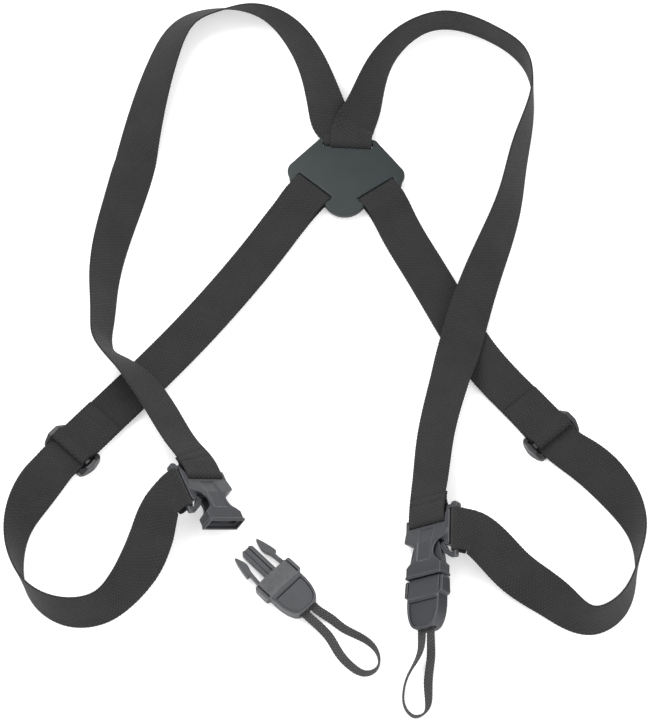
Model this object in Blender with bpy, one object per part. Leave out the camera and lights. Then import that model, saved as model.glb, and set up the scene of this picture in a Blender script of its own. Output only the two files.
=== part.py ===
"""Webbing carrying harness, laid out on a table.

Two shoulder straps and two side straps meet in a three-way yoke plate. Each side strap is doubled
between the yoke's lower bar and a slide adjuster, whose centre bar holds the strap's sewn end. Each
side ends in a small side-release buckle: its socket holds the shoulder strap and the side strap, and
its plug carries a cord loop. The right buckle is fastened and the left one is open.

Lengths are in millimetres and angles in degrees up to the point where a mesh is made. +X is the
harness's right side as it lies, +Y points from the buckles to the shoulder straps, +Z is up.
"""

import math

import bpy
from mathutils import Euler, Matrix, Vector

MM = 0.001

# Webbing and cord
STRAP_WIDTH = 25.4
STRAP_THICK = 1.2
CORD_WIDTH = 5.5
CORD_THICK = 1.3
GAP = 0.2                       # clearance between pieces that touch
LAYER = STRAP_THICK + GAP       # distance between the middles of two layers that lie on each other
STATION_STEP = 5.5              # distance between two rows of corners along a strap
CORD_STEP = 4.0
TURN_STEPS = 6                  # flat faces in the half turn round a bar
TACK_WIDE = 20.0                # block of stitching across a strap
TACK_THICK = 0.4
TACK_GAP = 0.4
TACK_STEPS = 2
SETTLE = 14.0                   # stretch over which a sewn end closes up on its strap
EDGE_SOFTNESS = 0.02            # rounds off the height rule where a strap lies flat
ROD_STEPS = 5                   # flat faces on each rounded edge of a bar
BAR_ROOT = 1.2                  # how far a bar runs on into the wall at each end of its slot
CUT_HALF_HIGH = 9.0             # half height of a block that cuts right through a piece
CUT_FRONT = 50.0                # where such a block ends, clear of every piece
SHARP_ANGLE = 50.0              # edges sharper than this are softened
END_HEIGHT = 12.0               # height that the side straps' last stretch is aimed at

# The object's frame: the plan below is drawn from another point, and this moves it to the middle
PLAN_SHIFT = Vector((0.2, -35.2, 0.0))

# Yoke plate
YOKE_THICK = 3.2
YOKE_HEIGHT = 5.0               # height of the plate's middle
YOKE_TURN = -3.0
YOKE_PLACE = (12.7, 120.6)
YOKE_TOP_BAR_Y = 23.2
YOKE_TOP_BAR_WIDE = 3.6
YOKE_TOP_SLOT_HALF = 15.4
YOKE_SIDE_BAR_WIDE = 5.2
YOKE_SIDE_BAR = (20.6, -11.6)   # middle of each lower bar, left one mirrored
YOKE_SIDE_SLOT_HALF = 13.1
YOKE_SIDE_TURN = 37.6           # slope of the lower slots
YOKE_LOWER_POINT = ((0, -14.5), 13.5)   # centre and radius of each rounded corner
YOKE_SIDE_POINT = ((29, 1.5), 6.5)
YOKE_TOP_CORNER = ((15.6, 22.4), 2.6)
YOKE_SHOULDER = (33.8, -5.4)    # where the lower edge meets the side point
YOKE_SOFTNESS = 0.8
SLOT_WIDE = 3.2
SHOULDER_OFFSET = 2.0           # the two shoulder straps share one slot, this far off its middle
SHOULDER_STRAIGHT = 5.0         # how far the shoulder straps run straight out of that slot
SHOULDER_TAB = {-1: 17.0, 1: 9.0}   # folded end of the left (-1) and right (1) shoulder strap

# Slide adjuster, in its own frame: +Y towards the yoke, z from the table
ADJUSTER_HALF_WIDE = 17.4
ADJUSTER_HALF_LONG = 8.6
RAIL_INSIDE = 13.7
OUTER_BAR_WIDE = 2.6
OUTER_BAR_LOW = 0.2
OUTER_BAR_HIGH = 1.8
CENTRE_BAR_WIDE = 3.6
CENTRE_BAR_LOW = 4.8
CENTRE_BAR_HIGH = 6.6
RAIL_HIGH = 7.0
RAIL_CORNER = 2.0
RAIL_SOFTNESS = 0.5
OUTER_BAR_SOFTNESS = 0.3
RETURN_HEIGHT = 4.0             # middle of the return layer where it meets the adjuster
END_LOOP_LONG = 28.0            # sewn end of the side strap, measured from the centre bar
END_LOOP_SHORTER = 2.0          # how much shorter its lower layer is
END_LOOP_CLOSES = (2.0, 9.0)    # where its two layers start to close up, and over what distance
END_LOOP_LOWER_ROWS = (END_LOOP_LONG - END_LOOP_SHORTER, 14.0, 0.0)
END_LOOP_UPPER_ROWS = (2.0, 5.0, 8.0, 12.0, 16.0, 22.0, END_LOOP_LONG)
RETURN_SPACE = 1.0              # between the return layer and the pieces at its two ends
ADJUSTER_TACK = (17.0, 19.5)
STUB_LONG = 9.0                 # the folded part of a side strap above the yoke's lower bar

# Buckle socket, in its own frame: origin in the mouth, +Y towards the strap, +X to the side bar
MOUTH_HALF_WIDE = 12.2
MOUTH_HALF_HIGH = 4.5
MOUTH_LONG = 6.6
CAVITY_HALF_WIDE = 10.6
CAVITY_HALF_HIGH = 2.5
CAVITY_DEEP = 21.6
BAR_THICK = 3.2
TOP_BAR_Y = 35.0
TOP_BAR_WIDE = 3.6
TOP_SLOT_HALF = 13.1
SIDE_BAR_X = 19.8
SIDE_BAR_Y = 25.2
SIDE_SLOT_BACK = 12.0
SIDE_SLOT_FRONT = 38.4
SIDE_BAR_BACK = 8.8
SIDE_BAR_FRONT = 41.0
SIDE_LOOP_HALF_HIGH = 1.4
SOCKET_FRONT = TOP_BAR_Y + 1.6
SOCKET_HALF = [(0, 0), (MOUTH_HALF_WIDE, 0), (MOUTH_HALF_WIDE, MOUTH_LONG), (6.5, 11), (6.5, 17.5),
               (10, 20.5), (14.6, 22), (15.2, SOCKET_FRONT), (0, SOCKET_FRONT)]
SOCKET_TAPER = [(8, MOUTH_HALF_HIGH + 0.1), (21, 3.7), (30.5, BAR_THICK / 2), (CUT_FRONT, BAR_THICK / 2),
                (CUT_FRONT, CUT_HALF_HIGH), (8, CUT_HALF_HIGH)]
UPPER_ARM = [(13.3, 34), (15.2, 34), (15.2, SIDE_SLOT_FRONT), (SIDE_BAR_X, SIDE_SLOT_FRONT),
             (SIDE_BAR_X, SIDE_BAR_FRONT - 0.2), (14.5, SIDE_BAR_FRONT - 0.2), (13.3, 39.5)]
LOWER_ARM = [(9, 17), (16.4, 9.2), (SIDE_BAR_X, 9.2), (SIDE_BAR_X, SIDE_SLOT_BACK), (17, SIDE_SLOT_BACK),
             (11.5, 19.5)]
SIDE_SLOT_INSIDE = 15.2
WINDOW_HALF_WIDE = 14.0         # the openings that the barbs are pressed through
WINDOW_FRONT = 20.2
SOCKET_SOFTNESS = 0.35
SHOULDER_END_TAB = 22.0         # folded end of a shoulder strap at its socket
SIDE_END_TAB = 16.0             # folded end of a side strap at its socket
SHOULDER_TACK = (13.5, 11.0)    # stitching, by distance from the strap's end
SIDE_TACK = (8.5, 6.0)

# Buckle plug, in the same frame as the socket that it fits
COLLAR_HALF_WIDE = 13.4
PLUG_HALF_WIDE = 11.2
PLUG_END = -30.5
PLUG_HALF_HIGH = 4.3
TONGUE_LONG = 20.5
TONGUE_HALF_WIDE = 4.0
TONGUE_HALF_HIGH = 2.0
TONGUE_CORNER = 1.5
TONGUE_ROOT = -2.0              # where the tongue starts, inside the plug's body
GROOVE_HALF_WIDE = 1.8
GROOVE_BACK = 1.0
GROOVE_SHORTER = 2.5
GROOVE_FLOOR = 0.6
PRONG_ROOT_X = 9.3
PRONG_HALF_HIGH = 2.0
MATED_GAP = 0.3
POCKET_HALF_WIDE = 8.4
POCKET_FRONT = -14.6
POCKET_BACK = -27.4
POCKET_FLOOR = -1.3
PASSAGE_HALF_WIDE = 6.4         # the cord's way out of the pocket
PASSAGE_LOW = -1.0
PASSAGE_HIGH = 1.4
COVER_LOW = 2.3
COVER_DROP = 0.5                # how far the cover lies below the plug's face
COVER_SPACE = 0.3
PLUG_SOFTNESS = 0.4
SMALL_SOFTNESS = 0.3            # of the cover, the crimp and the prongs
PRONG_OUTLINE = [(8.4, MATED_GAP), (10.2, MATED_GAP), (9.7, 7.3), (11.5, 7.3), (11.3, 10.7), (9.3, 20.4),
                 (7.6, 20.4), (6.0, 14.5), (7.7, 7.5)]
CORD_OFFSET = 3.2               # each leg of the cord loop, off the plug's middle
CORD_START = -24.2
CORD_LEVEL = 0.2
CORD_EXIT = (2.0, -3.0)         # the legs' last guided places, measured from the plug's end
CRIMP_LONG = 5.0
CRIMP_HALF_WIDE = 7.2
CRIMP_HIGH = 1.9

# Where the hardware lies: (x, y, z), then turn about Z, pitch about X, roll about Y
SOCKET_RIGHT = ((57.7, -141.4, 12.9), (-2.0, 0.0, -40.0))
SOCKET_LEFT = ((-57.0, -110.6, 16.6), (23.0, -7.0, 38.0))
PLUG_LEFT = ((-30.5, -135.5, 4.5), (45.0, 0.0, 0.0))
ADJUSTER_LEFT = ((-146.5, -58.2, 0.0), (-43.0, 0.0, 0.0))
ADJUSTER_RIGHT = ((131.5, -48.8, 0.0), (41.0, 0.0, 0.0))

# Strap routes: (x, y, lift, roll). A strap with roll 0 lies flat, at 90 it stands on its edge. Its
# lower edge rests on the table, raised by lift.
SHOULDER_LEFT_ROUTE = [
    (4, 157, 3.6, -3), (0, 168, 1, -20), (-5, 183, 0, -43), (-21, 216, 0, -73), (-44, 234, 0, -106),
    (-66, 235, 0, -125), (-85, 228, 0, -134), (-99, 203, 0, -143), (-112, 150, 0, -165),
    (-120, 108, 0, -203), (-128, 72, 0, -221), (-131, 46, 0, -232), (-131, 26, 0.5, -240),
    (-131, 12, 2, -245), (-128, 1, 5, -246), (-118, -9, 6, -236), (-106, -21, 6, -224),
    (-94, -39, 6, -221), (-81, -60, 5, -222)]
SHOULDER_RIGHT_ROUTE = [
    (21, 158, 8, 6), (25, 170, 4, 24), (30, 186, 0, 55), (44, 210, 0, 80), (70, 226, 0, 95),
    (104, 216, 0, 96), (123, 198, 0, 92), (127, 180, 0, 94), (118, 134, 0, 114), (111, 101, 1, 125),
    (93, 50, 4, 150), (81.5, 14, 5.5, 172), (72.5, -18, 5.5, 202), (63.5, -55, 4, 212), (60, -82, 5, 217)]
SIDE_LEFT_ROUTE = [
    (-32.4, 77.4, 1.75, 0), (-55.8, 44.8, 1.75, 0), (-83, 11, 1.75, 0), (-108, -17, 1.75, 0),
    (-129, -39.5, 1.75, 0), (-146.5, -58.2, 1.75, 0), (-155.1, -67.4, 1.75, 0),
    (-165, -83.5, 0.5, -24), (-174, -105.5, 0, -56), (-174.5, -130, 0, -76), (-166, -149, 0, -92),
    (-144, -161, 0, -110), (-125, -157.5, 0, -119), (-112, -144, 1, -137), (-101, -124, 8, -168)]
SIDE_RIGHT_ROUTE = [
    (45, 85, 1.75, 0), (58, 60, 1.75, 0), (73, 31, 1.75, 0), (88, 4, 1.75, 0), (103, -16, 1.75, 0),
    (119.5, -35, 1.75, 0), (136, -54, 1.75, 0), (151, -67, 1, 14), (167, -87, 0, 42),
    (177.5, -113, 0, 74), (175.5, -136, 0, 93), (165, -158.5, 0, 105), (150, -166, 0, 110),
    (129, -153, 1, 138), (107, -137, 7, 160)]
CORD_LEFT_ROUTE = [
    (2, -172, 1, 15), (8, -182, 0, 25), (15, -190, 0, 45), (23, -194, 0, 75), (29, -191, 0, 90),
    (30, -184, 0, 95), (26, -177, 0, 110), (18, -171.5, 0, 125), (10, -167, 0, 140), (3, -161.5, 1, 155)]
CORD_RIGHT_ROUTE = [
    (53, -183, 6, 55), (46, -196, 1, 80), (43.5, -206, 0, 90), (44.5, -214, 0, 92),
    (50, -219, 0, 95), (55.5, -216.5, 0, 105), (57.5, -209, 0, 135), (57.5, -198, 0.5, 160),
    (59, -186, 4, 155)]

# Roll of each strap where it reaches its buckle, left (-1) and right (1)
SHOULDER_END_ROLL = {-1: -217.0, 1: 220.0}
SIDE_END_ROLL = {-1: -201.0, 1: 172.0}

# Roll of each cord loop where it leaves its plug and where it comes back
CORD_ROLLS = {-1: (0.0, 180.0), 1: (40.0, 140.0)}

MATERIALS = {
    "webbing": ((0.045, 0.044, 0.043, 1.0), 0.85),
    "moulded_plastic": ((0.07, 0.072, 0.078, 1.0), 0.42),
    "yoke_plastic": ((0.055, 0.068, 0.07, 1.0), 0.45),
    "cord": ((0.05, 0.05, 0.052, 1.0), 0.8),
    "thread": ((0.03, 0.03, 0.03, 1.0), 0.7),
    "crimp_metal": ((0.5, 0.5, 0.5, 1.0), 0.35),
}


# ---- small helpers ------------------------------------------------------------------------------

def clear_scene():
    """Remove every object that the file opens with."""
    for item in list(bpy.data.objects):
        bpy.data.objects.remove(item, do_unlink=True)


def material(name):
    """A Principled material with the named colour and roughness."""
    colour, roughness = MATERIALS[name]
    made = bpy.data.materials.new(name)
    made.use_nodes = True
    shader = made.node_tree.nodes["Principled BSDF"]
    shader.inputs["Base Color"].default_value = colour
    shader.inputs["Roughness"].default_value = roughness
    shader.inputs["Metallic"].default_value = 1.0 if name == "crimp_metal" else 0.0
    return made


def place_matrix(place):
    """The world matrix, in millimetres, of a (position, (turn, pitch, roll)) pair."""
    position, (turn, pitch, roll) = place
    rotation = (Euler((0, 0, math.radians(turn))).to_matrix()
                @ Euler((math.radians(pitch), 0, 0)).to_matrix()
                @ Euler((0, math.radians(roll), 0)).to_matrix())
    return Matrix.Translation(Vector(position) + PLAN_SHIFT) @ rotation.to_4x4()


def in_metres(matrix):
    """The same placement with its translation in metres."""
    made = matrix.copy()
    made.translation = matrix.translation * MM
    return made


def add_mesh(name, points, faces, look, matrix=None):
    """A mesh object from points in millimetres."""
    mesh = bpy.data.meshes.new(name)
    mesh.from_pydata([Vector(point) * MM for point in points], [], faces)
    mesh.update()
    made = bpy.data.objects.new(name, mesh)
    if look:
        mesh.materials.append(material(look))
    bpy.context.scene.collection.objects.link(made)
    if matrix is not None:
        made.matrix_world = in_metres(matrix)
    return made


def add_slab(name, outline, low, high, look=None, matrix=None):
    """A prism on an outline of (x, y) points that runs anticlockwise, from z low to z high."""
    count = len(outline)
    points = [(x, y, low) for x, y in outline] + [(x, y, high) for x, y in outline]
    faces = [tuple(reversed(range(count))), tuple(range(count, 2 * count))]
    faces += [(i, (i + 1) % count, count + (i + 1) % count, count + i) for i in range(count)]
    return add_mesh(name, points, faces, look, matrix)


def add_prism(name, outline, left, right):
    """A prism along X on an outline of (y, z) points that runs anticlockwise as seen from +X."""
    count = len(outline)
    points = [(left, y, z) for y, z in outline] + [(right, y, z) for y, z in outline]
    faces = [tuple(reversed(range(count))), tuple(range(count, 2 * count))]
    faces += [(i, (i + 1) % count, count + (i + 1) % count, count + i) for i in range(count)]
    return add_mesh(name, points, faces, None)


def add_rod(name, middle, angle, half_long, thick, wide):
    """A bar with rounded edges along a direction in the XY plane."""
    flat, radius = (wide - thick) / 2, thick / 2
    section = arc((flat, 0), radius, -90, 90, ROD_STEPS) + arc((-flat, 0), radius, 90, 270, ROD_STEPS)
    if flat == 0:
        section = section[:ROD_STEPS] + section[ROD_STEPS + 1:-1]
    rod = add_prism(name, section, -half_long, half_long)
    for corner in rod.data.vertices:
        x, y = turned([(corner.co.x / MM, corner.co.y / MM)], angle, middle)[0]
        corner.co = Vector((x * MM, y * MM, corner.co.z))
    return rod


def box_outline(left, right, back, front):
    """The outline of a rectangle."""
    return [(left, back), (right, back), (right, front), (left, front)]


def arc(centre, radius, first, last, steps):
    """Points along an arc, both ends included."""
    angles = [math.radians(first + (last - first) * i / steps) for i in range(steps + 1)]
    return [(centre[0] + radius * math.cos(a), centre[1] + radius * math.sin(a)) for a in angles]


def mirrored(half):
    """A closed outline from its right half, which is listed from back to front."""
    return half + [(-x, y) for x, y in reversed(half) if x > 0]


def flipped(outline):
    """The mirror image of a closed outline."""
    return [(-x, y) for x, y in reversed(outline)]


def turned(outline, angle, centre):
    """An outline turned about the origin and then moved."""
    cosine, sine = math.cos(math.radians(angle)), math.sin(math.radians(angle))
    return [(centre[0] + x * cosine - y * sine, centre[1] + x * sine + y * cosine) for x, y in outline]


def boolean(target, cutter, operation):
    """Cut or join target with cutter, which stays in the scene as a hidden guide."""
    cutter.hide_render = True
    cutter.display_type = "WIRE"
    cutter.matrix_world = target.matrix_world.copy()
    step = target.modifiers.new(operation.lower(), "BOOLEAN")
    step.operation = operation
    step.solver = "EXACT"
    step.object = cutter


def soften(target, width):
    """Take off the sharp edges."""
    step = target.modifiers.new("soften", "BEVEL")
    step.width = width * MM
    step.segments = 1
    step.limit_method = "ANGLE"
    step.angle_limit = math.radians(SHARP_ANGLE)


def ease(value):
    """A smooth step from 0 to 1."""
    value = min(max(value, 0.0), 1.0)
    return value * value * (3.0 - 2.0 * value)


# ---- straps -------------------------------------------------------------------------------------

def natural_spline(knots, values):
    """Second derivatives of the natural cubic spline through values at knots."""
    count = len(knots)
    gaps = [knots[i + 1] - knots[i] for i in range(count - 1)]
    slopes = [(values[i + 1] - values[i]) / gaps[i] for i in range(count - 1)]
    upper, rest = [0.0] * count, [0.0] * count
    for i in range(1, count - 1):
        pivot = 2.0 * (gaps[i - 1] + gaps[i]) - gaps[i - 1] * upper[i - 1]
        upper[i] = gaps[i] / pivot
        rest[i] = (6.0 * (slopes[i] - slopes[i - 1]) - gaps[i - 1] * rest[i - 1]) / pivot
    bends = [0.0] * count
    for i in range(count - 2, 0, -1):
        bends[i] = rest[i] - upper[i] * bends[i + 1]
    return bends


def spline_at(knots, values, bends, where):
    """The spline's value at one place."""
    i = 0
    while i < len(knots) - 2 and where > knots[i + 1]:
        i += 1
    gap = knots[i + 1] - knots[i]
    a, b = (knots[i + 1] - where) / gap, (where - knots[i]) / gap
    return (a * values[i] + b * values[i + 1]
            + ((a ** 3 - a) * bends[i] + (b ** 3 - b) * bends[i + 1]) * gap * gap / 6.0)


def steady_slopes(knots, values):
    """Slopes of the cubic curve that never swings past its values."""
    count = len(knots)
    rises = [(values[i + 1] - values[i]) / (knots[i + 1] - knots[i]) for i in range(count - 1)]
    slopes = [0.0] * count
    for i in range(1, count - 1):
        if rises[i - 1] * rises[i] > 0.0:
            slopes[i] = 2.0 * rises[i - 1] * rises[i] / (rises[i - 1] + rises[i])
    return slopes


def steady_at(knots, values, slopes, where):
    """The steady curve's value at one place."""
    i = 0
    while i < len(knots) - 2 and where > knots[i + 1]:
        i += 1
    gap = knots[i + 1] - knots[i]
    t = (where - knots[i]) / gap
    return (values[i] * (1 + 2 * t) * (1 - t) ** 2 + slopes[i] * gap * t * (1 - t) ** 2
            + values[i + 1] * t * t * (3 - 2 * t) + slopes[i + 1] * gap * t * t * (t - 1))


def resting_height(roll, width, thick):
    """Height of a strap's middle when its lower edge touches the table."""
    edge = math.sqrt(math.sin(roll) ** 2 + EDGE_SOFTNESS ** 2)
    return width / 2.0 * edge + thick / 2.0 * abs(math.cos(roll))


class Bar:
    """A bar that a strap's end is folded round: middle, axis on the strap's A side, way out."""

    def __init__(self, middle, axis, out, thick, wide, layer=0, straight=7.0):
        self.middle = Vector(middle)
        self.axis = Vector(axis).normalized()
        flat = Vector(out) - Vector(out).dot(self.axis) * self.axis
        self.out = flat.normalized()
        self.layer = layer
        self.straight = straight
        self.radius = thick / 2.0 + GAP + STRAP_THICK / 2.0 + layer * LAYER
        self.flat = max(wide - thick, 0.0) / 2.0

    def fold_distance(self, away):
        """Distance between the main layer and the folded end, some way out from the bar."""
        closing = 0.0 if self.layer else ease((away - self.straight) / SETTLE)
        return 2.0 * self.radius + (LAYER - 2.0 * self.radius) * closing


class Strap:
    """Rows along a strap's middle: place, direction across to the A edge, and normal."""

    def __init__(self, route, width, thick, step, first=None, last=None, first_roll=0.0, last_roll=0.0,
                 first_above=True, last_above=True):
        self.width, self.thick = width, thick
        controls = [(Vector((x, y, lift)) + PLAN_SHIFT, math.radians(roll)) for x, y, lift, roll in route]
        if first:
            controls[:0] = self.controls_over(first, first.out, first_above, first_roll)
        if last:
            controls += reversed(self.controls_over(last, -last.out, last_above, last_roll))
        knots = [0.0]
        for (p, _), (q, _) in zip(controls, controls[1:]):
            knots.append(knots[-1] + (q - p).length)
        plan = [[p.x for p, _ in controls], [p.y for p, _ in controls]]
        bends = [natural_spline(knots, lane) for lane in plan]
        stance = [[p.z for p, _ in controls], [roll for _, roll in controls]]
        slopes = [steady_slopes(knots, lane) for lane in stance]
        count = max(int(knots[-1] / step), 4)
        self.spots = [knots[-1] * i / count for i in range(count + 1)]
        samples = [[spline_at(knots, lane, bend, s) for lane, bend in zip(plan, bends)]
                   + [steady_at(knots, lane, slope, s) for lane, slope in zip(stance, slopes)]
                   for s in self.spots]
        self.middles = [Vector((x, y, lift + resting_height(roll, width, thick)))
                        for x, y, lift, roll in samples]
        self.rows = []
        for i, sample in enumerate(samples):
            before, after = self.middles[max(i - 1, 0)], self.middles[min(i + 1, count)]
            travel = (after - before).normalized()
            side = Vector((-travel.y, travel.x, 0)).normalized()
            across = math.cos(sample[3]) * side + math.sin(sample[3]) * travel.cross(side)
            if first:
                away = self.spots[i] - first.straight
                across = across.lerp(first.axis, 1.0 - ease(away / SETTLE))
            if last:
                away = self.spots[-1] - self.spots[i] - last.straight
                across = across.lerp(last.axis, 1.0 - ease(away / SETTLE))
            across.normalize()
            normal = travel.cross(across).normalized()
            lowest = self.middles[i].z - abs(across.z) * width / 2.0 - abs(normal.z) * thick / 2.0
            self.middles[i].z -= min(lowest, 0.0)
            self.rows.append((self.middles[i], across, normal))
        self.first, self.last = first, last
        self.first_above, self.last_above = first_above, last_above

    def controls_over(self, bar, travel, above, roll):
        """Two controls: where the main layer passes a bar, above or below it, and just outside it."""
        normal = travel.cross(bar.axis) * (1.0 if above else -1.0)
        made = []
        for away in (0.0, bar.straight):
            place = bar.middle + normal * bar.radius + bar.out * away
            place.z -= resting_height(math.radians(roll), self.width, self.thick)
            made.append((place, math.radians(roll)))
        return made

    def row_at(self, where):
        """The row at any place along the strap."""
        i = min(int(where / self.spots[1]), len(self.spots) - 2)
        share = where / self.spots[1] - i
        place, across, normal = (a.lerp(b, share) for a, b in zip(self.rows[i], self.rows[i + 1]))
        return (place, across.normalized(), normal.normalized())

    def offset_row(self, i, distance):
        """One row moved along its normal."""
        place, across, normal = self.rows[i]
        return (place + normal * distance, across, normal)

    def turn_rows(self, bar, above, leaving):
        """Rows of the half turn round a bar, from the strap's main layer to the folded end."""
        out = bar.out
        travel = out if leaving else -out
        normal = travel.cross(bar.axis)
        side = 1.0 if above else -1.0
        made = []
        for k in range(TURN_STEPS + 1):
            angle = math.pi * k / TURN_STEPS
            place = (bar.middle - out * bar.flat
                     + side * normal * bar.radius * math.cos(angle) - out * bar.radius * math.sin(angle))
            turned_normal = normal * math.cos(angle) - side * out * math.sin(angle)
            made.append((place, bar.axis, turned_normal))
        return made

    def folded_end(self, bar, above, leaving, tab):
        """Rows from the strap's main layer round the bar and back along the strap."""
        rows = self.turn_rows(bar, above, leaving)
        side = -1.0 if above else 1.0
        length = self.spots[-1]
        near = [i for i, s in enumerate(self.spots) if 3.0 < (s if leaving else length - s) <= tab]
        if not leaving:
            near.reverse()
        for i in near:
            away = self.spots[i] if leaving else length - self.spots[i]
            place, across, normal = self.offset_row(i, side * bar.fold_distance(away))
            rows.append((place, across, -normal))
        return rows

    def solid_rows(self, first_tab=0.0, last_tab=0.0):
        """All rows from one cut end to the other."""
        rows = []
        if self.first and first_tab:
            rows += list(reversed(self.folded_end(self.first, self.first_above, True, first_tab)))
        rows += list(self.rows)
        if self.last and last_tab:
            rows += self.folded_end(self.last, self.last_above, False, last_tab)
        return rows


def add_band(name, rows, width, thick, look):
    """A closed solid with a flat section that follows the rows."""
    points, faces = [], []
    for k, (place, across, normal) in enumerate(rows):
        a, n = across * width / 2.0, normal * thick / 2.0
        points += [place + a + n, place - a + n, place - a - n, place + a - n]
        if k:
            b = 4 * (k - 1)
            faces += [(b, b + 1, b + 5), (b, b + 5, b + 4), (b + 1, b + 2, b + 6, b + 5),
                      (b + 2, b + 3, b + 6), (b + 3, b + 7, b + 6), (b + 3, b, b + 4, b + 7)]
    last = 4 * (len(rows) - 1)
    faces = [(3, 2, 1, 0)] + faces + [(last, last + 1, last + 2, last + 3)]
    add_mesh(name, points, faces, look)


# ---- yoke and adjusters -------------------------------------------------------------------------

def yoke_matrix():
    """The yoke plate's placement."""
    return place_matrix(((*YOKE_PLACE, YOKE_HEIGHT), (YOKE_TURN, 0.0, 0.0)))


def yoke_side_bar_frame(side):
    """Middle, axis along the bar and way out of a lower bar, in the plate's frame."""
    slope = math.radians(YOKE_SIDE_TURN)
    out = Vector((side * math.sin(slope), -math.cos(slope), 0))
    axis = Vector((math.cos(slope), side * math.sin(slope), 0))
    return Vector((side * YOKE_SIDE_BAR[0], YOKE_SIDE_BAR[1], 0)), axis, out


def make_yoke():
    """A rounded three-way plate with one slot above and two below, each with a round-edged bar."""
    half = (arc(*YOKE_LOWER_POINT, -90, -35, 4) + [YOKE_SHOULDER] + arc(*YOKE_SIDE_POINT, -35, 45, 4)
            + arc(*YOKE_TOP_CORNER, 30, 90, 3))
    plate = add_slab("yoke_plate", mirrored(half), -YOKE_THICK / 2, YOKE_THICK / 2, "yoke_plastic",
                     yoke_matrix())
    room = YOKE_TOP_BAR_Y - YOKE_TOP_BAR_WIDE / 2 - SLOT_WIDE
    openings = [box_outline(-YOKE_TOP_SLOT_HALF, YOKE_TOP_SLOT_HALF, room, CUT_FRONT)]
    bars = [((0, YOKE_TOP_BAR_Y), 0, YOKE_TOP_SLOT_HALF, YOKE_TOP_BAR_WIDE)]
    for side in (-1, 1):
        middle = yoke_side_bar_frame(side)[0].xy
        angle = side * YOKE_SIDE_TURN
        reach = YOKE_SIDE_BAR_WIDE / 2 + SLOT_WIDE
        opening = box_outline(-YOKE_SIDE_SLOT_HALF, YOKE_SIDE_SLOT_HALF, -CUT_FRONT, reach)
        openings.append(turned(opening, angle, middle))
        bars.append((middle, angle, YOKE_SIDE_SLOT_HALF, YOKE_SIDE_BAR_WIDE))
    for i, outline in enumerate(openings):
        boolean(plate, add_slab(f"yoke_opening_{i}", outline, -YOKE_THICK, YOKE_THICK), "DIFFERENCE")
    soften(plate, YOKE_SOFTNESS)
    for i, (middle, angle, slot_half, wide) in enumerate(bars):
        rod = add_rod(f"yoke_bar_{i}", middle, angle, slot_half + BAR_ROOT, YOKE_THICK, wide)
        boolean(plate, rod, "UNION")


def make_adjuster(name, place):
    """A slide adjuster: two low outer bars, a raised centre bar and a rail at each end."""
    reach = ADJUSTER_HALF_LONG
    rail = [(RAIL_INSIDE, -reach), (ADJUSTER_HALF_WIDE - RAIL_CORNER, -reach),
            (ADJUSTER_HALF_WIDE, RAIL_CORNER - reach), (ADJUSTER_HALF_WIDE, reach - RAIL_CORNER),
            (ADJUSTER_HALF_WIDE - RAIL_CORNER, reach), (RAIL_INSIDE, reach)]
    body = add_slab(name, rail, OUTER_BAR_LOW, RAIL_HIGH, "moulded_plastic", place_matrix(place))
    soften(body, RAIL_SOFTNESS)
    pieces = [("left_rail", flipped(rail), OUTER_BAR_LOW, RAIL_HIGH, RAIL_SOFTNESS)]
    for side, end in ((-1, "back"), (1, "front")):
        low, high = sorted((side * (reach - 0.1), side * (reach - OUTER_BAR_WIDE)))
        outline = box_outline(-RAIL_INSIDE - 1, RAIL_INSIDE + 1, low, high)
        pieces.append((end + "_bar", outline, OUTER_BAR_LOW + 0.05, OUTER_BAR_HIGH, OUTER_BAR_SOFTNESS))
    for piece, outline, low, high, soft in pieces:
        joined = add_slab(f"{name}_{piece}", outline, low, high)
        soften(joined, soft)
        boolean(body, joined, "UNION")
    centre = add_rod(name + "_centre_bar", (0, 0), 0, RAIL_INSIDE + 1, CENTRE_BAR_HIGH - CENTRE_BAR_LOW,
                     CENTRE_BAR_WIDE)
    for corner in centre.data.vertices:
        corner.co.z += (CENTRE_BAR_LOW + CENTRE_BAR_HIGH) / 2 * MM
    boolean(body, centre, "UNION")


# ---- buckles ------------------------------------------------------------------------------------

def add_taper(name, flip):
    """The block that tapers a socket from its mouth to its bars, above (1) or below (-1) it."""
    outline = [(y, flip * z) for y, z in SOCKET_TAPER]
    if flip < 0:
        outline.reverse()
    return add_prism(name, outline, -CUT_FRONT, CUT_FRONT)


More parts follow.
